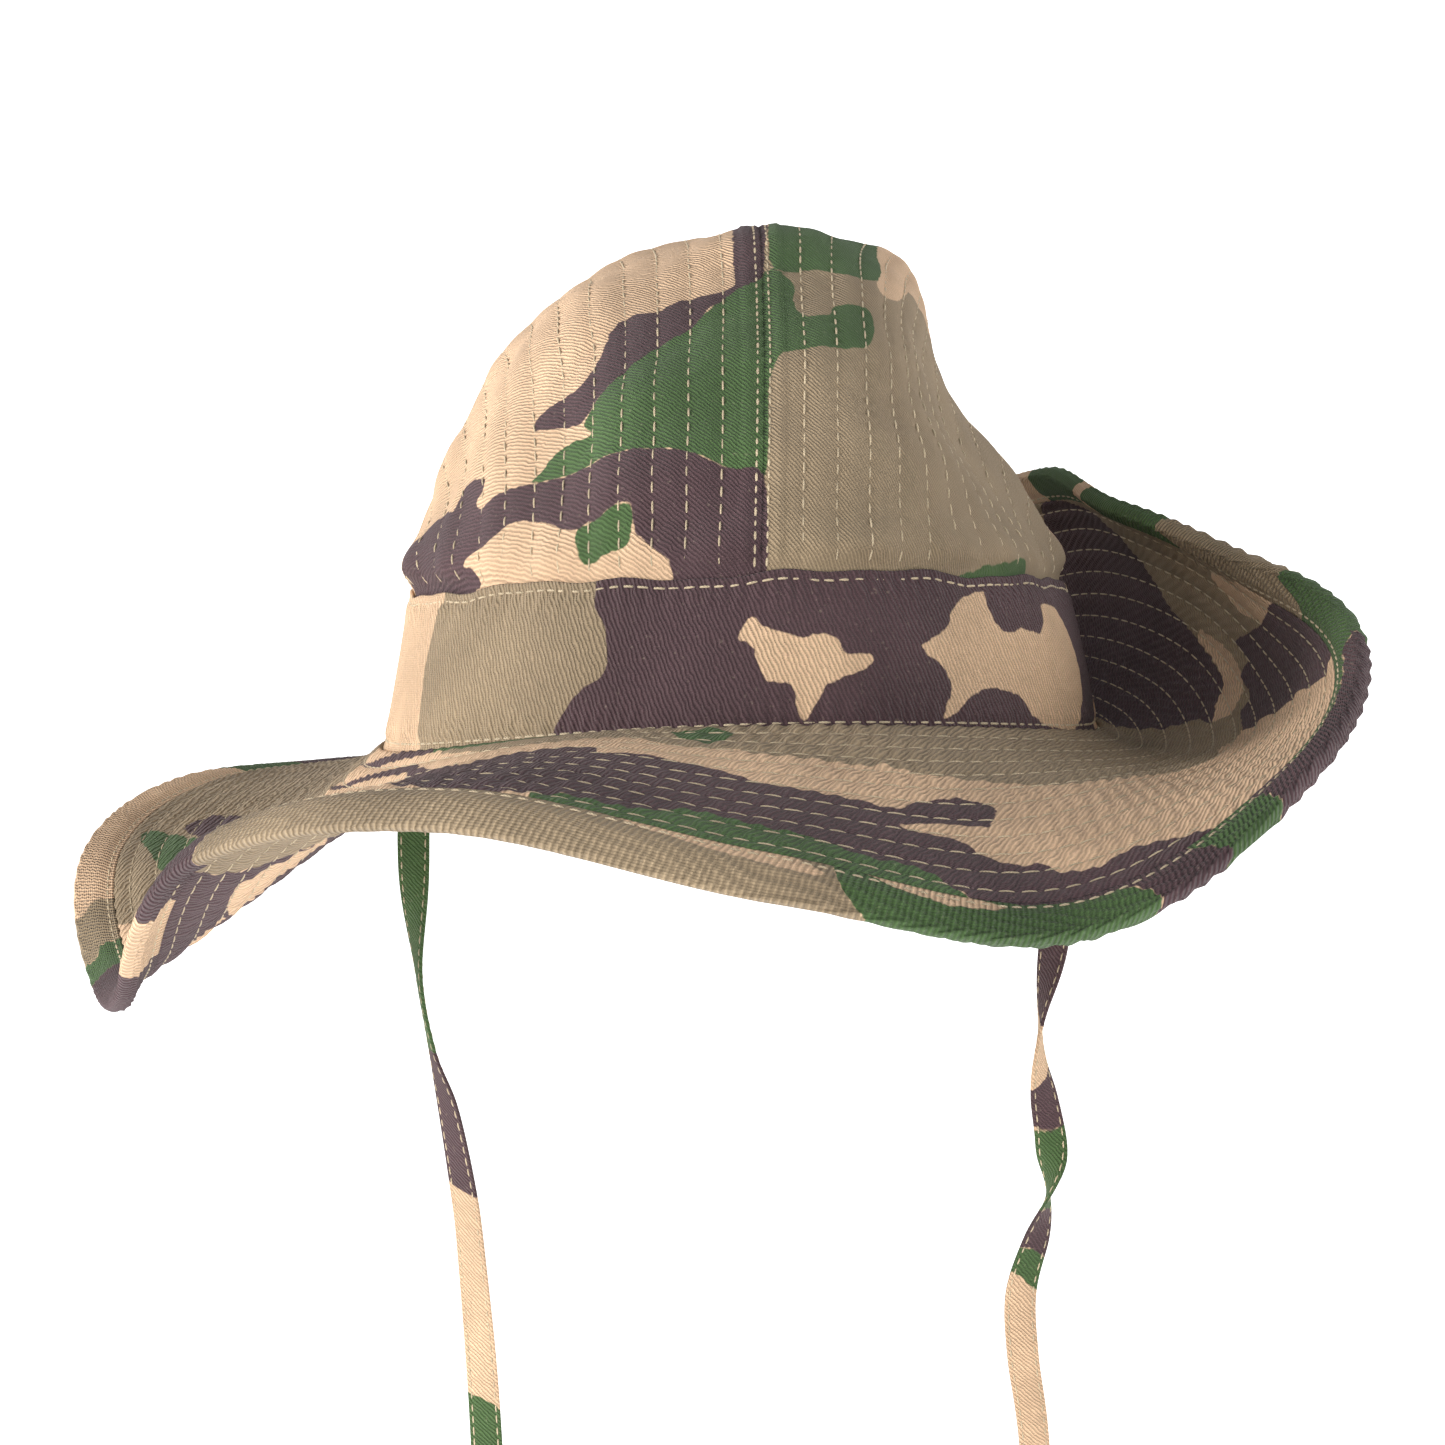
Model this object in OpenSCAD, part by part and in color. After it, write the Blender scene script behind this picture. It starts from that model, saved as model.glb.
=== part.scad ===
// Boonie hat with a turned-up side brim and two fabric chin ties.
// Millimetres. The origin is the centre of the head opening, in the plane where
// crown and brim are sewn together. Z is up, the front faces -Y, wearer's left is +X.

/* [Head opening] */
// Half the width of the crown at the brim seam
head_half_width = 83; // [78:0.5:88]
// Half the length of the crown at the brim seam
head_half_length = 104; // [98:0.5:110]
// How far the seam sags at the two ears
side_sag = 8; // [0:0.5:14]

/* [Crown] */
// Height of the crown above the brim seam
crown_height = 110; // [95:1:125]
// How far the top of the crown leans to the wearer's left
crown_lean = 7; // [0:0.5:12]
// Roundness of the crown's shoulders
shoulder = 3.2; // [2.6:0.1:4]
// How much the crown narrows towards the top
taper = 0.2; // [0.05:0.01:0.3]
// Angle between two rows of crown stitching
row_angle = 5; // [4.5:0.1:5.8]
// Angle from the centre seam to the first row
first_row = 6; // [4:0.1:8]
// Number of stitched rows on each crown panel
crown_rows = 14; // [8:1:14]

/* [Brim] */
// Brim width from the seam to the bound edge
brim_w = 83; // [70:1:90]
// Number of stitched rows on the brim
brim_rows = 12; // [10:1:13]
// Width of the edge binding
binding_w = 9; // [6:0.5:12]
// How much wider the brim has stretched on the drooping side
brim_stretch = 3.5; // [0:0.5:5]

/* [Band] */
// Height of the hat band
band_h = 33; // [30:1:44]
// Height of the sweatband inside
sweatband_h = 32; // [24:1:38]

/* [Cloth] */
// Thickness of one ply of twill
ply = 0.6; // [0.4:0.05:0.8]
// Space left between two plies
ply_gap = 0.08; // [0.06:0.01:0.12]
// Thickness of the sewing thread
thread_d = 0.45; // [0.3:0.05:0.6]

/* [Chin ties] */
// Width of a chin tie
tie_w = 8; // [6:0.5:10]
// Thickness of a chin tie
tie_t = 1.4; // [1:0.1:1.8]
// Drop of a chin tie below its sewn end
tie_drop = 365; // [300:5:420]

/* [Hidden] */
ply_step = ply + ply_gap;
row_pitch = brim_w / (brim_rows + 1);
around = 48;
seam_gap = 0.15;
// Extra room between two layers whose facets don't line up.
facet_room = 0.35;
band_low = ply_step + facet_room;
brim_start = 2;
brim_lines = concat([brim_start], [for (k = [1:brim_rows - 1]) k * row_pitch],
                    [for (k = [2:-1:0]) brim_w - k * binding_w / 2]);

// Brim pitch in degrees at its root and at its edge, every 20 degrees round the
// head, starting at the front and going towards the wearer's left.
root_pitch = [-12, -20, -28, -34, -38, -10, 4, -8, -10,
  -14, -18, -24, -30, -38, -42, -38, -20, -3];
edge_pitch = [-18, -30, 14, 60, 116, 144, 134, 112, 20,
  -14, -16, -6, 2, -4, -32, -28, 0, -5];
// Extra turn of the bound edge at the same bearings, where it rolls under.
edge_roll = [-55, -8, 0, 0, 0, 0, 0, 0, 0,
             0, 0, 0, 0, 0, -10, -45, -60, -60];

// Soft dents of the crown: direction, push in x, y, z, and how wide it is.
dents = [
  [[0.80, -0.25, 0.55], [-8, 0, -2], 0.34],
  [[0.72, 0.10, 0.69], [-14, 0, 0], 0.30],
  [[0.62, -0.42, 0.66], [-9, 1, 0], 0.26],
  [[0.86, -0.10, 0.52], [3, 0, 0], 0.15],
  [[0.36, 0.10, 0.93], [5, 0, 2], 0.22],
  [[0.00, -0.60, 0.80], [0, 2, -6], 0.35],
  [[-0.72, 0.00, 0.68], [-3, 0, 1], 0.38],
];

tan_cloth = [0.78, 0.66, 0.50];
olive_cloth = [0.52, 0.46, 0.33];
green_cloth = [0.20, 0.34, 0.16];
brown_cloth = [0.30, 0.22, 0.21];
thread_colour = [0.80, 0.74, 0.58];

// ---- smooth curves -----------------------------------------------------

// Value of a closed table at a bearing, with a smooth curve through its entries.
function spline(p, q, r, s, f) =
  0.5 * (2 * q + (r - p) * f + (2 * p - 5 * q + 4 * r - s) * f * f
         + (3 * q - 3 * r + s - p) * f * f * f);
function round_table(t, bearing) =
  let (n = len(t), x = ((bearing % 360 + 360) % 360) / 360 * n, i = floor(x))
  spline(t[(i + n - 1) % n], t[i % n], t[(i + 1) % n], t[(i + 2) % n], x - i);

// Point of an open list of points at a fraction between 0 and 1.
function along(pts, f) =
  let (n = len(pts) - 1, x = min(f, 0.99999) * n, i = floor(x))
  spline(pts[max(i - 1, 0)], pts[i], pts[i + 1], pts[min(i + 2, n)], x - i);

// ---- brim surface ------------------------------------------------------

function seam_point(bearing) =
  [head_half_width * sin(bearing), -head_half_length * cos(bearing),
   -side_sag * pow(sin(bearing), 2)];
function seam_out(bearing) =
  let (v = [head_half_length * sin(bearing), -head_half_width * cos(bearing), 0])
  v / norm(v);

// Step out and up along an arc that starts at a pitch and turns by an angle.
function arc_step(pitch, turn, length) =
  let (t = abs(turn) < 0.01 ? 0.01 : turn, r = length / (t * PI / 180))
  [r * (sin(pitch + t) - sin(pitch)), r * (cos(pitch) - cos(pitch + t))];

// Point of the brim at a bearing, a distance from the seam and a height above the cloth.
function brim_point(bearing, dist, lift) =
  let (a0 = round_table(root_pitch, bearing),
       a1 = round_table(edge_pitch, bearing),
       roll = round_table(edge_roll, bearing),
       stretch = 1 - brim_stretch / brim_w * sin(bearing),
       flat = brim_w - binding_w,
       f = min(dist, flat) / flat,
       g = max(dist - flat, 0) / binding_w,
       main = dist == 0 ? [0, 0]
              : arc_step(a0, (a1 - a0) * f, flat * f * stretch),
       edge = g == 0 ? [0, 0]
              : arc_step(a1, roll * g, binding_w * g * stretch),
       a = a0 + (a1 - a0) * f + roll * g,
       out = main[0] + edge[0] - lift * sin(a),
       up = main[1] + edge[1] + lift * cos(a))
  seam_point(bearing) + out * seam_out(bearing) + [0, 0, up];

// ---- crown surface -----------------------------------------------------

function dent_push(d, u) =
  let (c = d[0] / norm(d[0]), q = norm(u - c) / d[2])
  exp(-q * q) * d[1];
function all_dents(u, k) =
  k < 0 ? [0, 0, 0] : dent_push(dents[k], u) + all_dents(u, k - 1);

// Point of the crown in a direction from the origin, moved out by grow.
function crown_at(u, grow) =
  let (h = min(max(u[2], 0), 0.9999),
       k = sqrt((1 - pow(h, shoulder)) / (1 - h * h)) * (1 - taper * h),
       p = [(head_half_width + grow) * u[0] * k,
            (head_half_length + grow) * u[1] * k,
            (crown_height + grow) * u[2]])
  p + all_dents(u, len(dents) - 1)
    + [crown_lean * u[2], 0, -side_sag * u[0] * u[0] * (1 - u[2])];

// Direction from the slice angle off the centre seam and the angle from front to back.
function slice_dir(slice, arch) =
  [sin(slice), -cos(slice) * cos(arch), cos(slice) * sin(arch)];
// Direction from a bearing round the head and an angle above the seam.
function bearing_dir(bearing, rise) =
  [cos(rise) * sin(bearing), -cos(rise) * cos(bearing), sin(rise)];

// ---- solids from sections ----------------------------------------------

// Closed ring of closed sections. The strips named in flipped, which run inwards,
// are cut along their other diagonal, so that facing layers have matching facets.
module ring_solid(sections, flipped = []) {
  n = len(sections);
  m = len(sections[0]);
  polyhedron(
    points = [for (s = sections) for (p = s) p],
    faces = [for (i = [0:n - 1]) for (j = [0:m - 1])
      let (i2 = (i + 1) % n, j2 = (j + 1) % m,
           a = i * m + j, b = i * m + j2, c = i2 * m + j2, d = i2 * m + j)
      for (f = len(search(j, flipped)) > 0
             ? [[a, b, d], [b, c, d]]
             : [[a, b, c], [a, c, d]]) f],
    convexity = 10);
}

// Open run of closed sections with a cap at each end.
module run_solid(sections) {
  n = len(sections);
  m = len(sections[0]);
  sides = [for (i = [0:n - 2]) for (j = [0:m - 1])
    let (j2 = (j + 1) % m,
         a = i * m + j, b = i * m + j2, c = (i + 1) * m + j2, d = (i + 1) * m + j)
    for (f = [[a, b, c], [a, c, d]]) f];
  first = [for (j = [1:m - 2]) [0, j + 1, j]];
  last = [for (j = [1:m - 2]) [(n - 1) * m, (n - 1) * m + j, (n - 1) * m + j + 1]];
  polyhedron(
    points = [for (s = sections) for (p = s) p],
    faces = concat(sides, first, last),
    convexity = 10);
}

// Half a crown shell between two heights above the surface. side is 1 or -1.
module half_shell(side, low, high) {
  slices = 11;
  arches = 20;
  slice_step = 90 / slices;
  row = arches + 1;
  count = slices * row + 1;
  shift = [side * seam_gap, 0, 0];
  skin = function (grow) concat(
    [for (i = [0:slices - 1]) for (j = [0:arches])
      crown_at(slice_dir(side * i * slice_step, j * 180 / arches), grow) + shift],
    [crown_at([side, 0, 0], grow) + shift]);
  at = function (i, j) i < slices ? i * row + j : slices * row;
  outer = [for (i = [0:slices - 1]) for (j = [0:arches - 1])
    for (f = i < slices - 1
           ? [[at(i, j), at(i, j + 1), at(i + 1, j + 1)],
              [at(i, j), at(i + 1, j + 1), at(i + 1, j)]]
           : [[at(i, j), at(i, j + 1), at(slices, 0)]]) f];
  inner = [for (f = outer) [f[0] + count, f[2] + count, f[1] + count]];
  seam = [for (j = [0:arches - 1])
    for (f = [[at(0, j + 1), at(0, j), at(0, j) + count],
              [at(0, j + 1), at(0, j) + count, at(0, j + 1) + count]]) f];
  front = [for (i = [0:slices - 1])
    for (f = [[at(i, 0), at(i + 1, 0), at(i + 1, 0) + count],
              [at(i, 0), at(i + 1, 0) + count, at(i, 0) + count]]) f];
  back = [for (i = [0:slices - 1])
    for (f = [[at(i + 1, arches), at(i, arches), at(i, arches) + count],
              [at(i + 1, arches), at(i, arches) + count,
               at(i + 1, arches) + count]]) f];
  faces = concat(outer, inner, seam, front, back);
  polyhedron(
    points = concat(skin(high), skin(low)),
    faces = side > 0 ? [for (f = faces) [f[0], f[2], f[1]]] : faces,
    convexity = 10);
}

// Ring of cloth on the crown from the seam to a height, between two lifts.
module crown_ring(height, low, high, steps) {
  top_rise = asin(height / crown_height);
  ring_solid([for (k = [0:around - 1]) let (b = k * 360 / around) concat(
    [for (i = [0:steps]) crown_at(bearing_dir(b, top_rise * i / steps), high)],
    [for (i = [steps:-1:0]) crown_at(bearing_dir(b, top_rise * i / steps), low)])],
    [for (j = [steps + 1:2 * steps]) j]);
}

// Ring of thread on the crown at a height above the seam.
module crown_thread(height, lift) {
  rise = asin(height / crown_height);
  half = asin(thread_d / 2 / crown_height);
  ring_solid([for (k = [0:around - 1]) let (b = k * 360 / around) [
    crown_at(bearing_dir(b, rise - half), lift),
    crown_at(bearing_dir(b, rise), lift + thread_d),
    crown_at(bearing_dir(b, rise + half), lift)]]);
}

// Thread over the crown from the band in front to the band behind, at one slice angle.
module crown_row(slice) {
  lift = ply_step + 3 * facet_room;
  half = asin(thread_d / 2 / crown_height);
  low_arch = asin((band_h + 3) / crown_height / cos(slice));
  arches = 20;
  step = (180 - 2 * low_arch) / arches;
  run_solid([for (j = [0:arches]) let (arch = low_arch + j * step) [
    crown_at(slice_dir(slice - half, arch), lift),
    crown_at(slice_dir(slice, arch), lift + thread_d),
    crown_at(slice_dir(slice + half, arch), lift)]]);
}

// One ply of the brim between two lifts.
module brim_ply(low, high) {
  last = len(brim_lines) - 1;
  ring_solid([for (k = [0:around - 1]) let (b = k * 360 / around) concat(
    [for (d = brim_lines) brim_point(b, d, high)],
    [for (i = [last:-1:0]) brim_point(b, brim_lines[i], low)])],
    [for (j = [last + 1:2 * last]) j]);
}

// Ring of thread on the brim at a distance from the seam.
module brim_thread(dist, lift) {
  half = thread_d / 2;
  ring_solid([for (k = [0:around - 1]) let (b = k * 360 / around) [
    brim_point(b, dist - half, lift),
    brim_point(b, dist + half, lift),
    brim_point(b, dist, lift + thread_d)]]);
}

// ---- crown -------------------------------------------------------------

module crown_panel_left() {
  color(olive_cloth) half_shell(1, 0, ply);
}

module crown_panel_right() {
  color(tan_cloth) half_shell(-1, 0, ply);
}

module crown_lining_left() {
  color(olive_cloth) half_shell(1, -ply_step, -ply_gap);
}

module crown_lining_right() {
  color(olive_cloth) half_shell(-1, -ply_step, -ply_gap);
}

// Tape that covers the raw edges of the centre seam on the inside.
module crown_seam_tape() {
  half = 3.2;
  high = -ply_step - ply_gap - facet_room;
  low = high - ply;
  arches = 20;
  color(tan_cloth)
  run_solid([for (j = [1:arches - 1]) let (arch = j * 180 / arches) concat(
    [for (s = [half, 0, -half]) crown_at(slice_dir(s, arch), low)],
    [for (s = [-half, 0, half]) crown_at(slice_dir(s, arch), high)])]);
}

module crown_rows_left() {
  color(thread_colour)
  for (k = [0:crown_rows - 1]) crown_row(first_row + k * row_angle);
}

module crown_rows_right() {
  color(thread_colour)
  for (k = [0:crown_rows - 1]) crown_row(-first_row - k * row_angle);
}

// Two rows of thread close beside the centre seam.
module seam_topstitch() {
  color(thread_colour)
  for (s = [-1, 1]) crown_row(s * 0.9);
}

// ---- band --------------------------------------------------------------

module hat_band() {
  color(brown_cloth) crown_ring(band_h, band_low, band_low + ply, 3);
}

module band_top_stitch() {
  color(thread_colour) crown_thread(band_h - 1.6, band_low + ply + ply_gap);
}

module band_bottom_stitch() {
  color(thread_colour) crown_thread(2.2, band_low + ply + ply_gap);
}

// ---- brim --------------------------------------------------------------

module brim_top() {
  color(tan_cloth) brim_ply(2 * ply_step, 2 * ply_step + ply);
}

module brim_interlining() {
  color([0.85, 0.84, 0.80]) brim_ply(ply_step, ply_step + ply);
}

module brim_underside() {
  color(brown_cloth) brim_ply(0, ply);
}

// All the concentric rows that hold the brim's plies together.
module brim_rows_thread() {
  color(thread_colour)
  for (k = [1:brim_rows - 1]) brim_thread(k * row_pitch, 3 * ply_step);
}

// Cloth folded over the edge of the three plies.
module brim_binding() {
  start = brim_w - binding_w;
  low = -ply_gap;
  high = 3 * ply_step;
  end = brim_w + 2 * ply_gap;
  mid = brim_w - binding_w / 2;
  wrap = [[start, low - ply], [mid, low - ply], [end, low - ply], [end + ply, low + 0.2],
          [end + ply, high - 0.2], [end, high + ply], [mid, high + ply],
          [start, high + ply], [start, high], [mid, high], [end - 0.1, high],
          [end - 0.1, low], [mid, low], [start, low]];
  color(olive_cloth)
  ring_solid([for (k = [0:around - 1]) let (b = k * 360 / around)
    [for (q = wrap) brim_point(b, q[0], q[1])]], [5, 6, 11, 12]);
}

module binding_stitch() {
  color(thread_colour)
  brim_thread(brim_w - binding_w + 1.6, 4 * ply_step + facet_room);
}

// ---- inside ------------------------------------------------------------

module sweatband() {
  color(tan_cloth) crown_ring(sweatband_h, -2.6 - ply, -2.6, 3);
}

module sweatband_stitch() {
  rise = asin(2.4 / crown_height);
  half = asin(thread_d / 2 / crown_height);
  lift = -2.6 - ply - 0.15;
  color(thread_colour)
  ring_solid([for (k = [0:around - 1]) let (b = k * 360 / around) [
    crown_at(bearing_dir(b, rise + half), lift),
    crown_at(bearing_dir(b, rise), lift - thread_d),
    crown_at(bearing_dir(b, rise - half), lift)]]);
}

// ---- chin ties ---------------------------------------------------------

// Each tie from its sewn end down: across, depth and share of its drop.
left_tie = [[76.4, 3, 0], [76.4, 3, 0.02], [76.2, 3, 0.08], [74.5, 4, 0.15],
            [71, 3, 0.2], [70, 2, 0.23], [71, 3, 0.256], [72.5, 3, 0.288],
            [72, 2, 0.315], [68.5, 3, 0.35], [64.5, 4, 0.388], [64.5, 3, 0.43],
            [67, 3, 0.5], [68, 3, 0.66], [66, 3, 0.83], [66, 3, 1]];
right_tie = [[-77.2, 3, 0], [-77.2, 3, 0.02], [-79, 3, 0.07], [-79, 3, 0.155],
             [-76.5, 4, 0.21], [-73, 3, 0.25], [-70, 3, 0.305], [-68.5, 3, 0.35],
             [-66.5, 3, 0.46], [-66, 3, 0.62], [-67, 3, 0.8], [-68, 3, 1]];
// Twist of each tie in degrees at the same places.
left_twist = [0, 0, 60, 62, 5, -25, -60, -95, -170, -240, -262, -268,
              -255, -250, -240, -230];
right_twist = [0, 0, 85, 15, 12, 40, 55, 60, 80, 100, 70, 60];
tie_top = -4;

function tie_centre(path, f) =
  let (p = along(path, f)) [p[0], p[1], tie_top - tie_drop * p[2]];

// Flat tape hung from its sewn end, as a run of turned rectangles.
module chin_tie(path, twist) {
  steps = 60;
  run_solid([for (i = [0:steps])
    let (f = i / steps, c = tie_centre(path, f),
         turn = along(twist, f),
         a = [cos(turn), sin(turn), 0] * tie_t / 2,
         d = [-sin(turn), cos(turn), 0] * tie_w / 2)
    [c + a + d, c - a + d, c - a - d, c + a - d]]);
}

module chin_tie_left() {
  color(tan_cloth) chin_tie(left_tie, left_twist);
}

module chin_tie_right() {
  color(green_cloth) chin_tie(right_tie, right_twist);
}

// Dense bar of thread on the inner face of a tie, near its sewn end.
module tie_tack(top) {
  side = sign(top[0]);
  translate([top[0] - side * (tie_t / 2 + 0.7), top[1], tie_top - 1.5])
    cube([0.5, tie_w - 1.5, 1.8], center = true);
}

module tie_tack_left() {
  color(thread_colour) tie_tack(left_tie[0]);
}

module tie_tack_right() {
  color(thread_colour) tie_tack(right_tie[0]);
}

// ---- one line for each node --------------------------------------------

crown_panel_left();
crown_panel_right();
crown_lining_left();
crown_lining_right();
crown_seam_tape();
crown_rows_left();
crown_rows_right();
seam_topstitch();
hat_band();
band_top_stitch();
band_bottom_stitch();
brim_top();
brim_interlining();
brim_underside();
brim_rows_thread();
brim_binding();
binding_stitch();
sweatband();
sweatband_stitch();
chin_tie_left();
chin_tie_right();
tie_tack_left();
tie_tack_right();
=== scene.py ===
"""Boonie hat in camouflage twill: cloth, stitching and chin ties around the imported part.

Shapes are worked out in millimetres, as in the part's source, and put into Blender in
metres. The origin is the centre of the head opening, the front faces -Y and +X is the
wearer's left.
"""
from math import cos, pi, radians, sin, tan

import bpy
import numpy as np
from mathutils import Matrix, Vector


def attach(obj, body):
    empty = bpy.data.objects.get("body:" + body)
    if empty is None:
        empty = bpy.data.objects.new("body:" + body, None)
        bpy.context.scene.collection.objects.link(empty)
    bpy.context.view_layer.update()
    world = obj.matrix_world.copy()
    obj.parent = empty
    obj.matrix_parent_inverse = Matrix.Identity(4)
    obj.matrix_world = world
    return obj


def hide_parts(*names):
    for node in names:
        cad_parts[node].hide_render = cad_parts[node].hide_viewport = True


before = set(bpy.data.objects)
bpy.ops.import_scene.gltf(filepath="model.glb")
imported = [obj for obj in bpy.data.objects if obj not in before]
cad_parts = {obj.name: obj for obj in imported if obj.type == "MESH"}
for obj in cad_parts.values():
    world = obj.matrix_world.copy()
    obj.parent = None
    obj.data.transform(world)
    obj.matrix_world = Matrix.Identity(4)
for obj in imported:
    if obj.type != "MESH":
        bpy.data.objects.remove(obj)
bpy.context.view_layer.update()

MM = 0.001

# ---- driving sizes, the same as the part's, in millimetres and degrees ----

HEAD_HALF_WIDTH = 83.0
HEAD_HALF_LENGTH = 104.0
SIDE_SAG = 8.0
CROWN_HEIGHT = 110.0
CROWN_LEAN = 7.0
SHOULDER = 3.2
TAPER = 0.2
FIRST_ROW = 6.0
ROW_ANGLE = 5.0
CROWN_ROWS = 14
BRIM_W = 83.0
BRIM_ROWS = 12
BINDING_W = 9.0
BRIM_STRETCH = 3.5
BAND_H = 33.0
SWEATBAND_H = 32.0
PLY = 0.6
PLY_STEP = 0.68
TIE_W = 8.0
TIE_T = 1.4
TIE_DROP = 365.0
TIE_TOP = -4.0

ROW_PITCH = BRIM_W / (BRIM_ROWS + 1)
FLAT_W = BRIM_W - BINDING_W
BAND_LIFT = PLY_STEP + 0.35
SEAM_HALF_GAP = 0.02
BRIM_TOP_LIFT = 2 * PLY_STEP
SWEATBAND_LIFT = -2.6

# Mean radius of the head opening, and the cloth's length in mm for each degree: round the
# band, over the crown, and round the brim at its middle and its edge.
MEAN_RADIUS = 93.0
MM_PER_DEGREE = 1.65
ARCH_MM_PER_DEGREE = 1.75
BRIM_MM_PER_DEGREE = 2.2
EDGE_MM_PER_DEGREE = 2.9
EDGE_WEAVE_MM_PER_DEGREE = 2.95

# How many steps the fine cloth takes round the head, and how many points a row of thread.
FINE_STEPS = 1250
ROW_POINTS = 5000

# Brim pitch at its root and at its edge, and the edge's extra roll, in degrees, every
# 20 degrees round the head from the front towards the wearer's left.
ROOT_PITCH = (-12, -20, -28, -34, -38, -10, 4, -8, -10,
              -14, -18, -24, -30, -38, -42, -38, -20, -3)
EDGE_PITCH = (-18, -30, 14, 60, 116, 144, 134, 112, 20,
              -14, -16, -6, 2, -4, -32, -28, 0, -5)
EDGE_ROLL = (-55, -8, 0, 0, 0, 0, 0, 0, 0,
             0, 0, 0, 0, 0, -10, -45, -60, -60)

# Soft dents of the crown: direction, push in x, y and z, and how wide it is.
DENTS = (
    ((0.80, -0.25, 0.55), (-8, 0, -2), 0.34),
    ((0.72, 0.10, 0.69), (-14, 0, 0), 0.30),
    ((0.62, -0.42, 0.66), (-9, 1, 0), 0.26),
    ((0.86, -0.10, 0.52), (3, 0, 0), 0.15),
    ((0.36, 0.10, 0.93), (5, 0, 2), 0.22),
    ((0.00, -0.60, 0.80), (0, 2, -6), 0.35),
    ((-0.72, 0.00, 0.68), (-3, 0, 1), 0.38),
)

# Each tie from its sewn end down: across, depth and share of its drop; then its twist.
LEFT_TIE = ((76.4, 3, 0), (76.4, 3, 0.02), (76.2, 3, 0.08), (74.5, 4, 0.15),
            (71, 3, 0.2), (70, 2, 0.23), (71, 3, 0.256), (72.5, 3, 0.288),
            (72, 2, 0.315), (68.5, 3, 0.35), (64.5, 4, 0.388), (64.5, 3, 0.43),
            (67, 3, 0.5), (68, 3, 0.66), (66, 3, 0.83), (66, 3, 1))
RIGHT_TIE = ((-77.2, 3, 0), (-77.2, 3, 0.02), (-79, 3, 0.07), (-79, 3, 0.155),
             (-76.5, 4, 0.21), (-73, 3, 0.25), (-70, 3, 0.305), (-68.5, 3, 0.35),
             (-66.5, 3, 0.46), (-66, 3, 0.62), (-67, 3, 0.8), (-68, 3, 1))
LEFT_TWIST = (0, 0, 60, 62, 5, -25, -60, -95, -170, -240, -262, -268,
              -255, -250, -240, -230)
RIGHT_TWIST = (0, 0, 85, 15, 12, 40, 55, 60, 80, 100, 70, 60)


# ---- camera ----

VIEW_DISTANCE = 0.8
VIEW_HEIGHT = 0.05
VIEW_AZIMUTH = -1.8
VIEW_ROLL = 1.6
VIEW_PAN = -0.3
VIEW_PITCH = -3.9
SENSOR_MM = 36.0
LENS_MM = 83.7


def add_camera():
    """A camera that looks almost straight at the front, a little turned, rolled and tipped."""
    azimuth = radians(VIEW_AZIMUTH)
    roll = radians(VIEW_ROLL)
    level = Vector((cos(azimuth), sin(azimuth), 0))
    ahead = Vector((-sin(azimuth), cos(azimuth), 0))
    right = cos(roll) * level - sin(roll) * Vector((0, 0, 1))
    up = sin(roll) * level + cos(roll) * Vector((0, 0, 1))
    look = ahead + tan(radians(VIEW_PAN)) * right + tan(radians(VIEW_PITCH)) * up
    look.normalize()
    camera_x = look.cross(up).normalized()
    camera_y = camera_x.cross(look)
    place = Matrix((camera_x, camera_y, -look)).transposed().to_4x4()
    place.translation = VIEW_HEIGHT * up - VIEW_DISTANCE * ahead
    lens = bpy.data.cameras.new("camera")
    lens.sensor_width = SENSOR_MM
    lens.lens = LENS_MM
    camera = bpy.data.objects.new("camera", lens)
    camera.matrix_world = place
    bpy.context.scene.collection.objects.link(camera)
    bpy.context.scene.camera = camera


add_camera()


# ---- smooth curves and the two cloth surfaces ----

def spline(p, q, r, s, f):
    """A smooth curve from q to r, through four values in a row, at the fraction f."""
    return 0.5 * (2 * q + (r - p) * f + (2 * p - 5 * q + 4 * r - s) * f ** 2
                  + (3 * q - 3 * r + s - p) * f ** 3)


def round_table(table, bearing):
    """Value of a closed table at a bearing, with a smooth curve through its entries."""
    values = np.array(table, float)
    n = len(values)
    x = np.mod(bearing, 360) / 360 * n
    i = np.floor(x).astype(int)
    return spline(values[(i - 1) % n], values[i % n], values[(i + 1) % n],
                  values[(i + 2) % n], x - i)


def along(points, f):
    """Points of an open list of points at the fractions f, from 0 to 1."""
    values = np.array(points, float)
    n = len(values) - 1
    x = np.minimum(f, 0.99999) * n
    i = np.floor(x).astype(int)
    part = (x - i).reshape((-1,) + (1,) * (values.ndim - 1))
    return spline(values[np.maximum(i - 1, 0)], values[i], values[i + 1],
                  values[np.minimum(i + 2, n)], part)


def smooth_step(x, low, high):
    """0 below low, 1 above high and smooth between them; low may be above high."""
    t = np.clip((x - low) / (high - low), 0, 1)
    return t * t * (3 - 2 * t)


def arc_step(pitch, turn, length):
    """Step out and up along an arc that starts at a pitch and turns by an angle."""
    turn = np.where(np.abs(turn) < 2e-4, 2e-4, turn)
    radius = length / turn
    out = radius * (np.sin(pitch + turn) - np.sin(pitch))
    return out, radius * (np.cos(pitch) - np.cos(pitch + turn))


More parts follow.
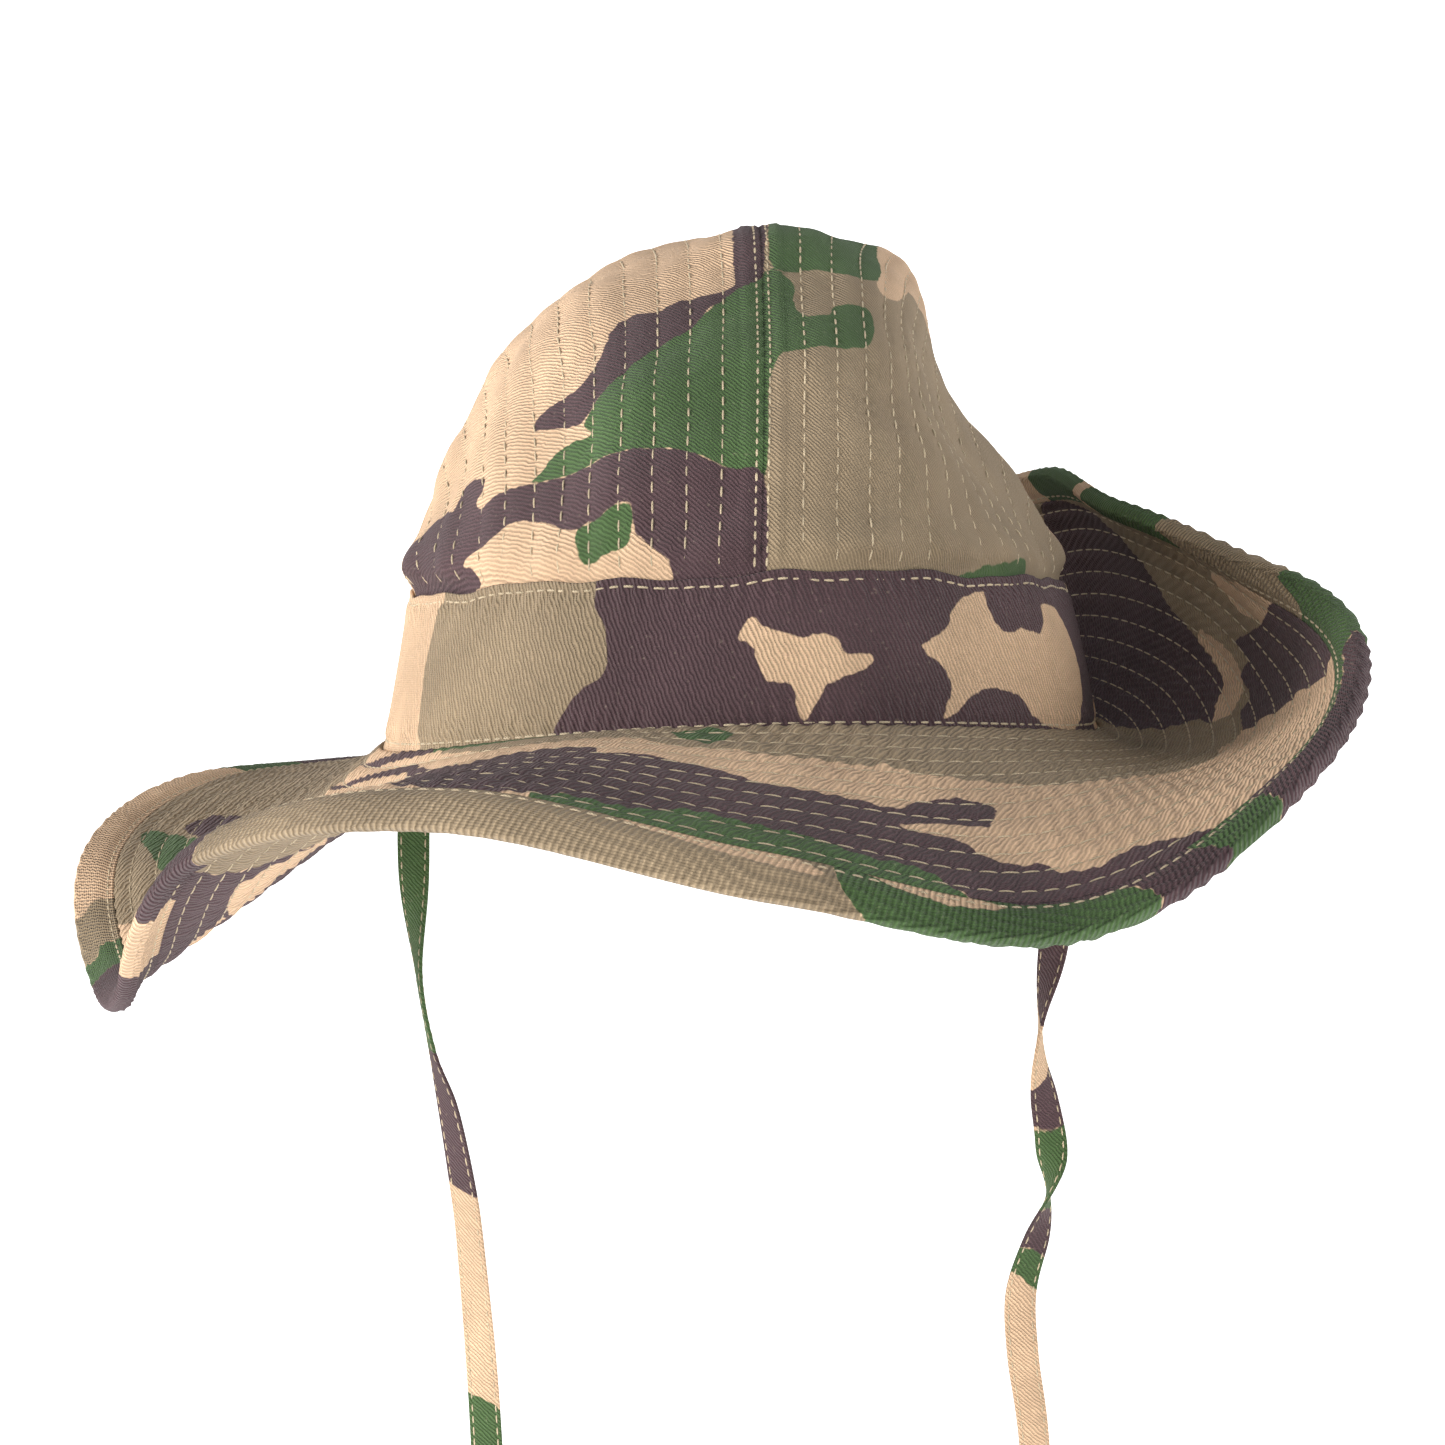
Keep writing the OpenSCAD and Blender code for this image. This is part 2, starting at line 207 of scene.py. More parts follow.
def brim_at(bearing, dist, lift):
    """Point of the brim at a bearing, a distance from the seam and a height on the cloth."""
    bearing, dist, lift = np.broadcast_arrays(bearing, dist, lift)
    turn = np.radians(bearing)
    root = np.radians(round_table(ROOT_PITCH, bearing))
    edge = np.radians(round_table(EDGE_PITCH, bearing))
    roll = np.radians(round_table(EDGE_ROLL, bearing))
    stretch = 1 - BRIM_STRETCH / BRIM_W * np.sin(turn)
    f = np.minimum(dist, FLAT_W) / FLAT_W
    g = np.maximum(dist - FLAT_W, 0) / BINDING_W
    out, up = arc_step(root, (edge - root) * f, FLAT_W * f * stretch)
    out_edge, up_edge = arc_step(edge, roll * g, BINDING_W * g * stretch)
    pitch = root + (edge - root) * f + roll * g
    out = out + out_edge - lift * np.sin(pitch)
    up = up + up_edge + lift * np.cos(pitch)
    away = np.stack([HEAD_HALF_LENGTH * np.sin(turn), -HEAD_HALF_WIDTH * np.cos(turn)], -1)
    away = away / np.linalg.norm(away, axis=-1, keepdims=True)
    return np.stack([HEAD_HALF_WIDTH * np.sin(turn) + out * away[..., 0],
                     -HEAD_HALF_LENGTH * np.cos(turn) + out * away[..., 1],
                     up - SIDE_SAG * np.sin(turn) ** 2], -1)


def crown_at(direction, grow):
    """Point of the crown in a direction from the origin, moved out by grow."""
    x, y, z = direction[..., 0], direction[..., 1], direction[..., 2]
    h = np.clip(z, 0, 0.9999)
    k = np.sqrt((1 - h ** SHOULDER) / (1 - h * h)) * (1 - TAPER * h)
    point = np.stack([(HEAD_HALF_WIDTH + grow) * x * k + CROWN_LEAN * z,
                      (HEAD_HALF_LENGTH + grow) * y * k,
                      (CROWN_HEIGHT + grow) * z - SIDE_SAG * x * x * (1 - z)], -1)
    for centre, push, width in DENTS:
        centre = np.array(centre) / np.linalg.norm(centre)
        near = np.exp(-np.sum((direction - centre) ** 2, -1) / width ** 2)
        point = point + near[..., None] * np.array(push)
    return point


def slice_direction(angle, arch):
    """Direction from the slice angle off the centre seam and the angle front to back."""
    angle, arch = np.broadcast_arrays(np.radians(angle), np.radians(arch))
    return np.stack([np.sin(angle), -np.cos(angle) * np.cos(arch),
                     np.cos(angle) * np.sin(arch)], -1)


def ring_direction(bearing, height):
    """Direction at a bearing round the head and a height above the seam."""
    bearing, height = np.broadcast_arrays(np.radians(bearing), height)
    rise = np.arcsin(height / CROWN_HEIGHT)
    return np.stack([np.cos(rise) * np.sin(bearing), -np.cos(rise) * np.cos(bearing),
                     np.sin(rise)], -1)


def panel_at(angle, arch, lift):
    """A point of the crown, by its slice angle off the seam and its angle over the head."""
    return crown_at(slice_direction(angle, arch), lift)


def ring_at(bearing, height, lift):
    """A point of the crown's wall, by its bearing and its height above the seam."""
    return crown_at(ring_direction(bearing, height), lift)


def waves(points, size, seed, count=18):
    """Smooth random field over points in space, about -1 to 1, in lumps of about size."""
    rng = np.random.default_rng(seed)
    total = np.zeros(points.shape[:-1])
    for _ in range(count):
        way = rng.normal(size=3)
        way = way / np.linalg.norm(way) * pi / size * rng.uniform(0.6, 1.3)
        total = total + np.cos(points @ way + rng.uniform(0, 2 * pi))
    return total / np.sqrt(count)


# ---- camouflage ----

# The colours are laid in this order over the tan ground: olive, green, brown. Each is
# kept as a distance in millimetres to its edge, above zero inside it.
COLOURS = ("olive", "green", "brown")
FAR = 25.0


def rounded_outline(outline):
    """A closed outline with a smooth curve through its points, held tight at short sides."""
    ahead = np.roll(outline, -1, 0) - outline
    reach = np.linalg.norm(ahead, axis=1, keepdims=True)
    slope = (ahead + np.roll(ahead, 1, 0)) / 2
    most = np.minimum(reach, np.roll(reach, 1, 0))
    slope = slope * np.minimum(1, most / (np.linalg.norm(slope, axis=1, keepdims=True) + 1e-6))
    f = np.linspace(0, 1, 5)[:-1, None]
    sides = zip(outline, slope, np.roll(outline, -1, 0), np.roll(slope, -1, 0))
    return np.concatenate([p + (q - p) * f * f * (3 - 2 * f) + m * f * (1 - f) ** 2
                           - n * f * f * (1 - f) for p, m, q, n in sides])


def patch_depth(x, y, outline):
    """Distance to a closed outline, above zero inside it."""
    nearest = np.full(x.shape, FAR)
    inside = np.zeros(x.shape, bool)
    for (ax, ay), (bx, by) in zip(outline, np.roll(outline, -1, 0)):
        ex, ey = bx - ax, by - ay
        length_squared = max(ex * ex + ey * ey, 1e-9)
        t = np.clip(((x - ax) * ex + (y - ay) * ey) / length_squared, 0, 1)
        nearest = np.minimum(nearest, np.hypot(x - ax - t * ex, y - ay - t * ey))
        if ey != 0:
            inside ^= ((ay > y) != (by > y)) & (x < ax + (y - ay) * ex / ey)
    return np.where(inside, nearest, -nearest)


def lay(fields, colour, depth):
    """Lays a patch over what is there: it hides the colours that come after its own."""
    rank = COLOURS.index(colour) if colour in COLOURS else -1
    for i, name in enumerate(COLOURS):
        if i == rank:
            fields[name] = np.maximum(fields[name], depth)
        elif i > rank:
            fields[name] = np.minimum(fields[name], -depth)


def patches(x, y, x_scale, y_scale, shapes):
    """Colour fields of listed patches, each a colour and an outline in x and y."""
    fields = {name: np.full(x.shape, -FAR) for name in COLOURS}
    scale = np.array([x_scale, y_scale])
    for colour, outline in shapes:
        outline = rounded_outline(np.array(outline, float) * scale)
        lay(fields, colour, patch_depth(x * x_scale, y * y_scale, outline))
    return fields


def wild(points, seed):
    """Colour fields of random patches, for the cloth that no outline covers."""
    stretched = points * np.array([0.8, 0.8, 1.25])
    fields = {name: np.full(points.shape[:-1], -FAR) for name in COLOURS}
    for i, (colour, share, size) in enumerate(
            (("olive", 0.1, 40), ("green", 0.45, 34), ("brown", 0.4, 32), ("tan", 1.2, 24))):
        lumps = waves(stretched, size, seed + i) + 0.25 * waves(points, 10, seed + 10 + i)
        lay(fields, colour, (lumps - share) * size * 0.35)
    return fields


def join_fields(first, second, share):
    """share of the first fields and the rest of the second."""
    return {k: first[k] * share + second[k] * (1 - share) for k in COLOURS}


CROWN_PATCHES = (
    ("olive", ((0, -10), (0, 72), (10, 72), (19, 69), (30, 75), (60, 80), (95, 60), (95, -10))),
    ("green", (
        (0, 68), (-3, 66.5), (-6, 63), (-10, 58), (-14, 55), (-20, 51.5), (-25, 47), (-27.5, 43),
        (-26, 40.6), (-31, 41), (-35, 39), (-36.5, 38), (-33, 36.6), (-28, 35.5), (-20, 35.3),
        (-12, 33.8), (-5, 31), (0.5, 30), (0.5, 50))),
    ("brown", (
        (-2, 67), (-6, 64), (-12, 63), (-16, 61.5), (-20, 62), (-23, 60), (-25, 55), (-28, 51),
        (-31, 50), (-35, 49), (-36, 47), (-32, 45), (-28, 43.5), (-25, 47), (-20, 51), (-15, 54),
        (-11, 56.5), (-8, 60.5), (-4, 64))),
    ("brown", (
        (0.1, 30), (-5, 31), (-12, 33.8), (-20, 35.3), (-28, 35.5), (-33, 36.6), (-37, 37.8),
        (-42, 39.5), (-46, 40.2), (-47.3, 43), (-45.3, 45), (-47.3, 48.3), (-51, 50.5),
        (-52.5, 47), (-55, 51), (-60, 56), (-75, 60), (-80, 30), (-63, 29), (-56, 29),
        (-51.7, 27), (-47, 27), (-47, 29), (-49, 31.5), (-46, 32.3), (-44, 31.6), (-41, 32.7),
        (-38.5, 32.4), (-35.5, 31), (-33, 29.5), (-31, 28), (-28, 26.7), (-24, 27), (-20.5, 28),
        (-19, 27), (-18.5, 24), (-15, 21), (-13, 19), (-12, 14), (0.1, 14))),
    ("green", (
        (-27.8, 26.7), (-24, 27), (-21.6, 28), (-19.3, 27.6), (-18.8, 26), (-19, 24.2),
        (-20, 22.4), (-23.5, 22), (-25, 21.5), (-27.2, 22.3), (-27.8, 24))),
    ("green", ((-62, 30), (-60, 27), (-66, 22), (-75, 24), (-78, 33), (-68, 33))),
    ("brown", ((-4, 65), (-4, 80), (-3.5, 104), (1, 106), (1.5, 86), (0, 67))),
    ("green", (
        (1.5, 69), (9, 69), (18, 67), (20, 74), (18, 88), (19, 100), (10, 106), (1.5, 104),
        (1.5, 86))),
    ("tan", ((19, 66), (24, 66), (27, 74), (26, 92), (20, 96), (19, 84), (20.5, 74))),
    ("green", (
        (0.2, 68), (4.5, 66), (4.7, 60), (6.5, 57.5), (10, 57.5), (11, 59.5), (16.5, 60),
        (18, 57), (17, 52), (13, 50.3), (5, 49.8), (2, 48.3), (0.2, 44))),
    ("green", ((31, 19), (35, 22), (43, 26), (49, 30), (50, 25), (43, 21), (36, 17))),
)

BAND_PATCHES = (
    ("olive", ((-57, -4), (-57, 38), (-20, 38), (-20, -4))),
    ("brown", (
        (-25.5, 36), (-25.5, 31), (-25, 27), (-23, 22), (-22.5, 15), (-24, 12.5), (-27, 10),
        (-30, 3), (-31, -4), (75, -4), (82, 36))),
    ("tan", (
        (-1, 24), (0.5, 22), (6, 19.5), (10, 20.5), (12, 18.5), (13, 16), (16.5, 16), (17, 14.5),
        (15, 12.5), (10, 10), (9, 7), (7, 3), (6, 4), (5.5, 8), (4.5, 10), (1.5, 11), (0, 14.5),
        (-1, 18), (-3, 20), (-2, 23))),
    ("tan", (
        (25, 18), (29.5, 21), (31, 25), (33, 28), (38, 30), (42, 27), (48, 24), (54, 27),
        (62, 26), (66, 14), (62, 2), (52, 2), (47, 4), (44, 8), (38, 9.5), (33.5, 7.5), (31, 4.5),
        (28.5, 3), (30, 9), (29, 13), (26, 16))),
    ("brown", ((39, 31), (40, 24), (43, 21), (47, 22), (52, 21), (54, 27), (50, 32))),
)

BRIM_PATCHES = (
    ("olive", ((-146, -2), (-146, 78), (-88, 78), (-86, 20), (-84, -2))),
    ("green", (
        (-101.5, 70.5), (-104, 70.5), (-101.5, 62), (-97.5, 53), (-93, 50.5), (-91, 54),
        (-92.5, 61.5), (-97, 65.5))),
    ("brown", ((-103, 60.5), (-106, 58), (-105.5, 52.5), (-102, 44.5), (-99.5, 47), (-98.5, 53))),
    ("olive", (
        (-50, -2), (-50, 4), (-40, 6), (-30, 10), (-22, 13), (-15, 15), (-10, 19), (-5, 19),
        (-2.5, 18.5), (-0.5, 21.5), (5.5, 22.5), (11, 24), (13, 22.5), (15, 24.5), (19, 26.5),
        (22.5, 29), (27, 31), (31, 33), (34, 34), (41, 36), (50, 39), (55, 40), (64, 36),
        (70, 40), (76, 43), (80, 50), (84, 74), (100, 80), (150, 80), (150, -2))),
    ("tan", ((89, 71), (84, 73), (77, 75), (76, 70), (80, 66), (86, 62), (90, 65))),
    ("tan", ((96, 46), (88, 48), (83, 45), (81, 38), (83, 32), (86, 34), (88, 41), (96, 43))),
    # Brown in the hollow of the upturned right side: partly the print, partly painted shade, dark
    # where the crown shades the hollow.
    ("brown", (
        (83, 32), (86, 36), (88, 41), (96, 43), (104, 48), (110, 60), (118, 72), (150, 70),
        (150, 4), (90, 4), (88, 14), (86, 28))),
    ("brown", (
        (77, 73), (73.5, 77), (65, 77), (60.5, 70), (65, 60), (66, 54.5), (69.5, 46), (70, 41),
        (78, 41), (80, 46), (84.5, 46), (84.5, 51), (88, 52), (80.5, 65))),
    ("green", ((-60, -1), (-60, 2.5), (-50, 3), (-40, 3), (-25, 2), (-14, 1), (-14, -1))),
    ("green", (
        (-11, 7), (-8.5, 5), (-5.5, 3.5), (-3.5, 6), (-3, 9), (-4, 13), (-6, 16.5), (-8, 14.5),
        (-10.3, 10.5))),
    ("green", (
        (13, 77), (12, 71), (11, 66), (9, 64), (6, 64), (3.5, 61), (0.3, 60), (-4.5, 59),
        (-6, 60), (-9, 66), (-13, 68), (-15, 71), (-14, 77))),
    ("brown", (
        (-53, 9), (-44, 13), (-36, 18), (-27, 26), (-23, 28), (-21, 25), (-18.7, 27), (-16, 28.5),
        (-15.5, 31.5), (-13.5, 31), (-11, 30.5), (-7.5, 32), (-5, 34), (0, 38.5), (4, 40.5),
        (9.5, 42.5), (11.5, 43), (13, 40), (15, 38), (17.5, 36.5), (19.5, 37), (21.3, 40),
        (19, 47.5), (16.5, 47.5), (13.5, 48), (10.5, 50), (12.5, 52), (15, 53.5), (16, 57),
        (17, 60), (19, 62), (21, 62), (21.5, 65.5), (24.5, 67), (27.5, 65.5), (30, 68),
        (31.5, 71), (33, 78), (24, 79), (15, 78), (13, 74), (12, 71), (11, 68), (9, 66.5),
        (6, 67), (3.5, 63.5), (0.3, 62.5), (-4.5, 61), (-6, 62), (-9, 68), (-13, 68.5),
        (-15.5, 72), (-19, 76), (-24, 72), (-28, 62), (-36, 42), (-46, 20))),
    ("brown", (
        (-85, 7), (-75, 5), (-67, 2.4), (-63, 1.3), (-54, 1.5), (-53, 3.5), (-59, 4), (-62, 4.5),
        (-66, 5.4), (-71, 6.5))),
    ("brown", (
        (-88, 16.5), (-75, 11), (-65, 8.3), (-60, 7.2), (-54, 6.5), (-51, 9), (-53.5, 10.5),
        (-58, 10.2), (-65, 10.5), (-73, 12.3), (-80, 15))),
)

UNDER_PATCHES = (
    ("brown", ((-84, 10), (-84, 86), (-36, 86), (-38, 60), (-42, 40), (-46, 10))),
    ("olive", ((-49, 30), (-44, 30), (-40, 70), (-44, 75), (-47, 60), (-48, 45))),
    ("tan", ((-58, 56), (-51, 58), (-49, 48.5), (-49, 37), (-53, 38), (-56, 46), (-61, 52))),
    ("tan", ((-66, 64), (-60, 62.5), (-58.5, 57), (-61, 56.5), (-65, 59.5))),
)


def crown_camo(angle, arch, points):
    """The crown's colours: drawn on the front half and random behind."""
    drawn = patches(angle, arch, MM_PER_DEGREE, MM_PER_DEGREE, CROWN_PATCHES)
    seen = smooth_step(arch, 108, 96) * smooth_step(np.abs(angle), 82, 72)
    return join_fields(drawn, wild(points, 84), seen)


def band_camo(bearing, height, points):
    """The band's colours: drawn on the front half and random behind."""
    bearing = np.mod(bearing + 180, 360) - 180
    drawn = patches(bearing, height, MM_PER_DEGREE, 1, BAND_PATCHES)
    seen = smooth_step(bearing, -100, -92) * smooth_step(bearing, 84, 74)
    return join_fields(drawn, wild(points, 54), seen)


def brim_camo(bearing, dist, points):
    """The brim's colours on top: drawn all round, apart from the back."""
    bearing = np.mod(bearing + 180, 360) - 180
    drawn = patches(bearing, dist, BRIM_MM_PER_DEGREE, 1, BRIM_PATCHES)
    seen = smooth_step(bearing, -146, -138) * smooth_step(bearing, 140, 128)
    return join_fields(drawn, wild(points, 33), seen)


def under_camo(bearing, dist, points):
    """The brim's colours underneath: drawn on the drooping side and random elsewhere."""
    bearing = np.mod(bearing + 180, 360) - 180
    drawn = patches(bearing, dist, BRIM_MM_PER_DEGREE, 1, UNDER_PATCHES)
    seen = smooth_step(bearing, -86, -80) * smooth_step(bearing, -32, -38)
    return join_fields(drawn, wild(points, 31), seen)


# Colours of the binding by bearing: where each stretch ends, from -180 to 180.
BINDING_STRETCHES = (
    (-137, "brown"), (-128, "green"), (-91, "tan"), (-84.5, "olive"), (-79, "green"),
    (-56, "brown"), (-48, "tan"), (-39.5, "brown"), (3.5, "olive"), (24, "green"),
    (30, "brown"), (36, "green"), (58, "brown"), (71, "green"), (91.5, "olive"),
    (106.5, "green"), (110, "tan"), (128, "green"), (150, "tan"), (165, "green"),
    (181, "olive"),
)

# Patches that reach over the binding's inner edge.
BINDING_PATCHES = (
    ("tan", ((-9, 73), (-2, 73), (2, 75), (3, 78), (0, 78), (-4, 77), (-9, 75))),
    ("tan", (
        (5.5, 73), (8.5, 73.2), (13, 74), (15.5, 76), (13.5, 77.5), (10.5, 78), (9, 77),
        (7, 75.5))),
    ("brown", ((16, 73), (16, 74.8), (20, 75), (24, 75.5), (26, 73))),
    ("green", ((42, 73), (42, 76), (48, 77.5), (55, 78.5), (62, 79), (64, 73))),
)


def stretches(x, limits, slant, scale):
    """Colour fields of stretches along a strip, with edges that lean by slant."""
    fields = {name: np.full(x.shape, -FAR) for name in COLOURS}
    start = -1000
    for end, colour in limits:
        depth = np.minimum(x + slant - start, end - x - slant) * scale
        lay(fields, colour, np.clip(depth, -FAR, FAR))
        start = end
    return fields


def binding_camo(bearing, dist, points):
    """The colours of the strip at the brim's edge."""
    bearing = np.mod(bearing + 180, 360) - 180
    slant = (FLAT_W - dist) * 0.12 + 0.7 * waves(points, 6, 8)
    fields = stretches(bearing, BINDING_STRETCHES, slant, EDGE_MM_PER_DEGREE)
    for colour, outline in BINDING_PATCHES:
        outline = rounded_outline(np.array(outline, float) * np.array([EDGE_MM_PER_DEGREE, 1]))
        lay(fields, colour, patch_depth(bearing * EDGE_MM_PER_DEGREE, dist, outline))
    return fields


# ---- relief of the sewn cloth ----

def crown_relief(angle, arch):
    """How far the crown's cloth stands proud, in millimetres."""
    side = np.abs(angle)
    direction = slice_direction(angle, arch)
    place = direction * 100
    row = (side - FIRST_ROW) / ROW_ANGLE
    row = np.clip(row, -1, CROWN_ROWS - 1)
    off = np.abs(row - np.round(row)) * 2
    height = CROWN_HEIGHT * direction[..., 2]
    free = smooth_step(height, BAND_H - 0.5, BAND_H + 4)
    quilt = 0.42 * (1 - (1 - off) ** 2)
    length = arch * ARCH_MM_PER_DEGREE
    phase = 2.2 * np.round(row) * np.sign(angle) + 1.5 * waves(place, 14, 77)
    pucker = 0.16 * np.sin(2 * pi * length / 4.6 + phase) * np.exp(-(off / 0.35) ** 2)
    ridge = 0.55 * smooth_step(side, 3.3, 2.7) - 0.5 * np.exp(-(side / 0.18) ** 2)
    ridge = ridge - 0.35 * np.exp(-((side - 0.9) / 0.2) ** 2)
    soft = np.maximum(0.9 * waves(place, 26, 5) + 0.55 * waves(place, 12, 6) + 1.0, 0)
    bearing = np.degrees(np.arctan2(direction[..., 0], -direction[..., 1]))
    gather = np.exp(-((height - BAND_H - 5) / 5) ** 2)
    folds = gather * (1.0 * waves(place * np.array([1, 1, 0.3]), 9, 9) + 1.0)
    left_side = np.exp(-((bearing + 72) / 26) ** 2)
    over = 2.6 * left_side * np.exp(-((height - BAND_H - 6) / 9) ** 2)
    return (quilt + pucker + ridge + soft + folds + over) * free


def band_relief(bearing, height):
    """How far the band's cloth stands proud, in millimetres."""
    place = ring_direction(bearing, height) * 100
    low = np.exp(-((height - 2.2) / 1.0) ** 2)
    high = np.exp(-((height - BAND_H + 1.8) / 1.0) ** 2)
    pull = 0.22 * np.sin(bearing * 2.6 + 4 * waves(place, 12, 61))
    near_high = np.exp(-((height - BAND_H + 3) / 3.5) ** 2)
    near_low = np.exp(-((height - 4) / 3) ** 2)
    soft = 0.45 * waves(place, 20, 60)
    return soft - 0.45 * (low + high) + pull * (near_high + near_low) + 0.4


def brim_relief(bearing, dist):
    """How far the brim's top or bottom cloth stands proud between its rows."""
    row = dist / ROW_PITCH
    channel = np.floor(row)
    inside = row - channel
    pillow = np.abs(np.sin(pi * inside)) ** 0.6
    arc = np.radians(bearing) * (MEAN_RADIUS + dist)
    place = brim_at(bearing, dist, 0.0)
    strength = 0.8 + 0.35 * waves(place, 30, 31)
    lean = 5.5 * (inside - 0.5)
    phase = 2.4 * channel ** 2 + 1.5 * waves(place, 9, 33)
    pucker = np.sin(2 * pi * (arc + lean) / 5.0 + phase)
    edge = smooth_step(dist, FLAT_W + 1, FLAT_W - 1)
    return (0.55 * pillow + 0.27 * strength * pillow * pucker) * edge


def binding_relief(bearing, dist):
    """The puckers of the bound edge on both sides of its stitching."""
    arc = np.radians(bearing) * (MEAN_RADIUS + dist)
    place = brim_at(bearing, dist, 0.0)
    hold = np.exp(-((dist - FLAT_W - 1.6) / 0.9) ** 2)
    swell = smooth_step(dist, FLAT_W + 1.5, FLAT_W + 5)
    off_axis = np.radians(bearing - 45)
    twisted = 0.2 + 0.28 * smooth_step(np.cos(off_axis), 0.5, 0.9)
    pucker = np.sin(2 * pi * (arc + 1.6 * (dist - FLAT_W)) / 7.5 + 2.4 * waves(place, 12, 51))
    return 0.5 * swell - 0.35 * hold + twisted * pucker * swell


# ---- meshes ----

def grid_corners(rows, columns, wrap_rows):
    """Row and column of the four corners of each face of a grid whose columns close up."""
    i, j = np.meshgrid(np.arange(rows if wrap_rows else rows - 1), np.arange(columns),
                       indexing="ij")
    i, j = i.ravel(), j.ravel()
    return np.stack([i, i + 1, i + 1, i], -1), np.stack([j, j, j + 1, j + 1], -1)


def closed_strip(flat):
    """Faces and UV of a strip whose rows are loops of points, with its two ends closed.
    flat is the UV of each row's points in mm."""
    rows, columns = flat.shape[:2]
    i, j = grid_corners(rows, columns, False)
    faces = i * columns + j % columns
    uv = flat[i, j % columns]
    k = np.arange(columns // 2 - 1)
    cap = np.stack([k, k + 1, columns - 2 - k, columns - 1 - k], -1)
    for row, ring in ((0, cap[:, ::-1]), (rows - 1, cap)):
        faces = np.concatenate([faces, row * columns + ring])
        uv = np.concatenate([uv, flat[row, ring]])
    return faces, uv * MM


def signed_volume(points, faces):
    """Six times the volume inside the faces, below zero where they point inwards."""
    a, b, c, d = (points[faces[:, k]] for k in range(4))
    return np.sum(np.cross(b - a, c - a) * a) + np.sum(np.cross(c - a, d - a) * a)


def make_piece(name, points, faces, uv, material, body="hat", marks=None):
    """A mesh object from points in millimetres, quads, a UV in metres for each corner,
    and a number for each point under each of marks' names. It rides on a body."""
    points = np.asarray(points, float).reshape(-1, 3)
    if signed_volume(points, faces) < 0:
        faces = faces[:, ::-1]
        uv = uv[:, ::-1]
    mesh = bpy.data.meshes.new(name)
    mesh.vertices.add(len(points))
    mesh.vertices.foreach_set("co", (points * MM).ravel())
    mesh.loops.add(faces.size)
    mesh.loops.foreach_set("vertex_index", np.ascontiguousarray(faces).ravel())
    mesh.polygons.add(len(faces))
    mesh.polygons.foreach_set("loop_start", np.arange(0, faces.size, 4))
    mesh.update(calc_edges=True)
    layer = mesh.uv_layers.new(name="weave")
    layer.data.foreach_set("uv", np.ascontiguousarray(uv, float).ravel())
    for mark, values in (marks or {}).items():
        attribute = mesh.attributes.new(mark, "FLOAT", "POINT")
        attribute.data.foreach_set("value", np.asarray(values, float).ravel())
    mesh.shade_smooth()
    mesh.validate()
    mesh.materials.append(material)
    piece = bpy.data.objects.new(name, mesh)
    bpy.context.scene.collection.objects.link(piece)
    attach(piece, body)
    return piece


def stands_for(node):
    """The piece takes the place of a CAD node, which is hidden."""
    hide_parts(node)


def section(cross, high, low, coarse):
    """A flat closed section as (cross, lift, outer) rows: out along the top at the cross
    positions, then back underneath in fewer steps. outer is 1 on the top and 0 below."""
    back = np.linspace(cross[-1], cross[0], coarse)
    top = np.stack([cross, np.full(len(cross), high), np.ones(len(cross))], -1)
    under = np.stack([back, np.full(coarse, low), np.zeros(coarse)], -1)
    return np.concatenate([top, under])


def ring_cloth(name, place, profile, steps, relief, camo, material, weave):
    """Cloth swept round the head from the back: place gives a point for a bearing, a
    cross position and a lift; profile is a closed section; weave gives its UV in mm."""
    bearing = 180 + np.arange(steps + 1)[:, None] * 360 / steps
    cross, lift, outer = (profile[None, :, k] for k in range(3))
    detail = relief(bearing, cross) * outer if relief else 0 * outer
    points = place(bearing, cross, lift + detail)[:steps]
    columns = profile.shape[0]
    i, j = grid_corners(steps, columns, True)
    faces = (i % steps) * columns + (j % columns)
    u, v = weave(bearing, cross)
    flat = np.stack(np.broadcast_arrays(u, v), -1)
    uv = flat[i, j % columns] * MM
    here, there = np.broadcast_arrays(bearing[:steps], cross)
    fields = camo(here, there, place(here, there, 0.0)) if camo else {}
    return make_piece(name, points, faces, uv, material, marks=fields)


def strip_weave(bearing, cross):
    """The weave runs along a straight strip."""
    return (bearing - 180) * MM_PER_DEGREE, cross


def edge_weave(bearing, dist):
    """The weave of the strip that runs round the brim's edge."""
    return (bearing - 180) * EDGE_WEAVE_MM_PER_DEGREE, dist


def brim_weave(bearing, dist):
    """The weave runs straight across the brim, which is cut in one round piece."""
    turn = np.radians(bearing)
    return (MEAN_RADIUS + dist) * np.sin(turn), (MEAN_RADIUS + dist) * np.cos(turn)


def crown_half(name, side, low, high, steps, relief, camo, material):
    """Half of the crown between two lifts, on the side +1 or -1 of the centre seam."""
    slices, arches = steps
    near = np.linspace(0, 90, slices)
    near[-1] = 89.6
    angle = side * near[:, None]
    arch = np.linspace(0, 180, arches)
    around = np.concatenate([arch, arch[::-1]])[None, :]
    outer = np.concatenate([np.ones(arches), np.zeros(arches)])[None, :]
    detail = relief(angle, around) if relief else 0.0
    points = panel_at(angle, around, np.where(outer == 1, high, low) + detail)
    points[..., 0] += side * SEAM_HALF_GAP
    v = (around - 90) * ARCH_MM_PER_DEGREE * np.cos(np.radians(angle) * 0.8)
    faces, uv = closed_strip(np.stack(np.broadcast_arrays(angle * MM_PER_DEGREE, v), -1))
    here, there = np.broadcast_arrays(angle, around)
    fields = camo(here, there, panel_at(here, there, 0.0)) if camo else {}
    return make_piece(name, points, faces, uv, material, marks=fields)


# ---- stitches ----

# A stitch along X: place along it, thickness and depth below its middle, as shares.
STITCH_RINGS = ((-0.5, 0.35, 0.75), (-0.38, 0.85, 0.25), (-0.12, 1.0, 0.0),
                (0.12, 1.0, 0.0), (0.38, 0.85, 0.25), (0.5, 0.35, 0.75))
STITCH_SIDES = 6


